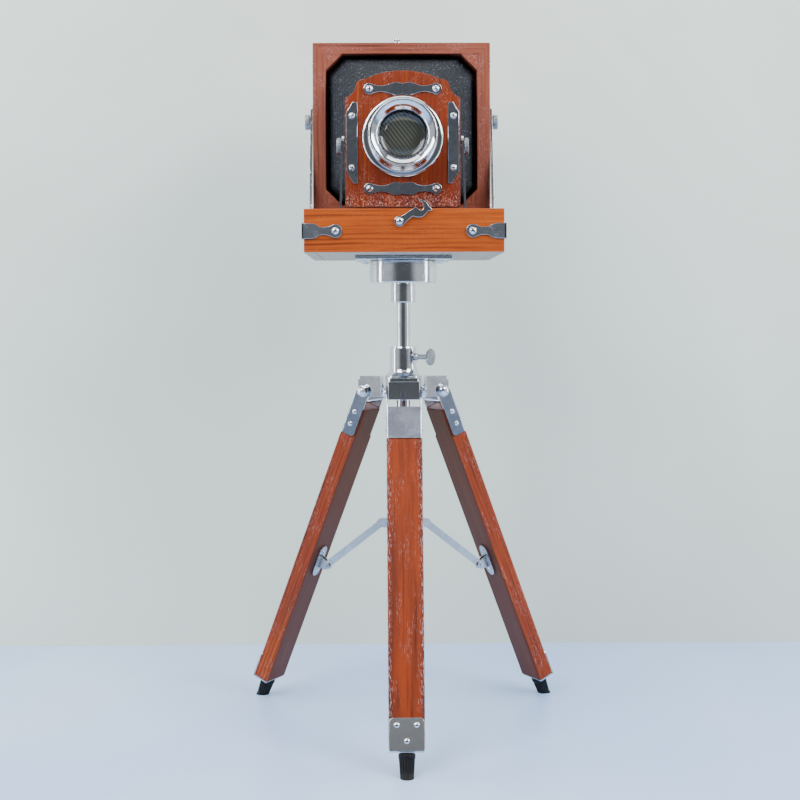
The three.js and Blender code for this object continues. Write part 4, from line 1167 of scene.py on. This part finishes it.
def stagePlane(name, corners, colourOne, colourTwo, scale, rough, seeThroughBack=False):
    data = bpy.data.meshes.new(name)
    data.from_pydata(corners, [], [(0, 1, 2, 3)])
    plane = bpy.data.objects.new(name, data)
    bpy.context.scene.collection.objects.link(plane)
    made = Finish(name + "Paint", Specular_IOR_Level=0.4)
    here = made.place()
    cloud = made.noise(here, scale, 4.0, 0.55, 0.6)
    colour = made.blend(cloud.ease(0.35, 0.7), colourOne, colourTwo)
    made.give(Base_Color=colour, Roughness=rough + cloud * 0.1)
    if seeThroughBack:
        behind = made.node("NewGeometry", output="Backfacing")
        clear = made.node("BsdfTransparent")
        shader = Wire(made.tree, made.shader.outputs[0])
        mixed = made.node("MixShader", None, {0: behind, 1: shader, 2: clear})
        made.tree.links.new(mixed.socket, made.tree.nodes["Material Output"].inputs["Surface"])
    data.materials.append(made.material)


far, wallY = stage["reach"], stage["wallY"]
stagePlane("studioFloor", [(-far, -far, 0), (far, -far, 0), (far, far, 0), (-far, far, 0)],
           stage["floor"], shade(192, 214, 248), (3, 1.4, 1), 0.3)
stagePlane("studioWall", [(-far, wallY, 0), (far, wallY, 0), (far, wallY, 2.4), (-far, wallY, 2.4)],
           stage["wall"], shade(216, 224, 214), (1.5, 1, 1.5), 0.8, True)

lights = [
    {"name": "keyLeft", "at": (-0.75, -0.95, 1.15), "aim": (0, 0, 0.3), "size": (0.8, 0.8), "power": 22},
    {"name": "keyRight", "at": (0.95, -0.85, 1.0), "aim": (0, 0, 0.3), "size": (0.7, 0.7), "power": 20},
    {"name": "topSoft", "at": (0, -0.1, 1.5), "aim": (0, 0, 0.2), "size": (1.2, 0.9), "power": 11},
    {"name": "frontBand", "at": (0, -1.6, 1.35), "aim": (0, 0, 0.1), "size": (1.3, 0.4), "power": 2.0},
    {"name": "stripLeft", "at": (-0.8, -0.05, 0.4), "aim": (0, 0, 0.35), "size": (0.12, 1.0), "power": 4},
    {"name": "stripRight", "at": (0.8, -0.05, 0.4), "aim": (0, 0, 0.35), "size": (0.12, 1.0), "power": 3},
]
for look in lights:
    data = bpy.data.lights.new(look["name"], "AREA")
    data.shape = "RECTANGLE"
    data.size, data.size_y = look["size"]
    data.energy = look["power"]
    lamp = bpy.data.objects.new(look["name"], data)
    bpy.context.scene.collection.objects.link(lamp)
    lamp.location = look["at"]
    lamp.rotation_mode = "QUATERNION"
    lamp.rotation_quaternion = (Vector(look["aim"]) - Vector(look["at"])).to_track_quat("-Z", "Y")


def makeWorld():
    # a pale room whose dark end lies in front of the lens
    world = bpy.data.worlds.new("studioRoom")
    world.use_nodes = True
    bpy.context.scene.world = world
    tree = world.node_tree
    coordinate = tree.nodes.new("ShaderNodeTexCoord")
    split = tree.nodes.new("ShaderNodeSeparateXYZ")
    tree.links.new(coordinate.outputs["Generated"], split.inputs[0])
    x, y, z = (Wire(tree, split.outputs[axis]) for axis in "XYZ")
    ahead = (-y).ease(0.6, 0.9) * (1 - x.size().ease(0.3, 0.6)) * (1 - z.size().ease(0.3, 0.6))
    sky = 0.24 + x.size().ease(0.42, 0.8) * 0.5
    level = sky * (1 - ahead * 0.42)
    background = tree.nodes["Background"]
    background.inputs["Color"].default_value = (0.9, 0.95, 1.0, 1)
    tree.links.new(level.socket, background.inputs["Strength"])


makeWorld()
print("stage done")
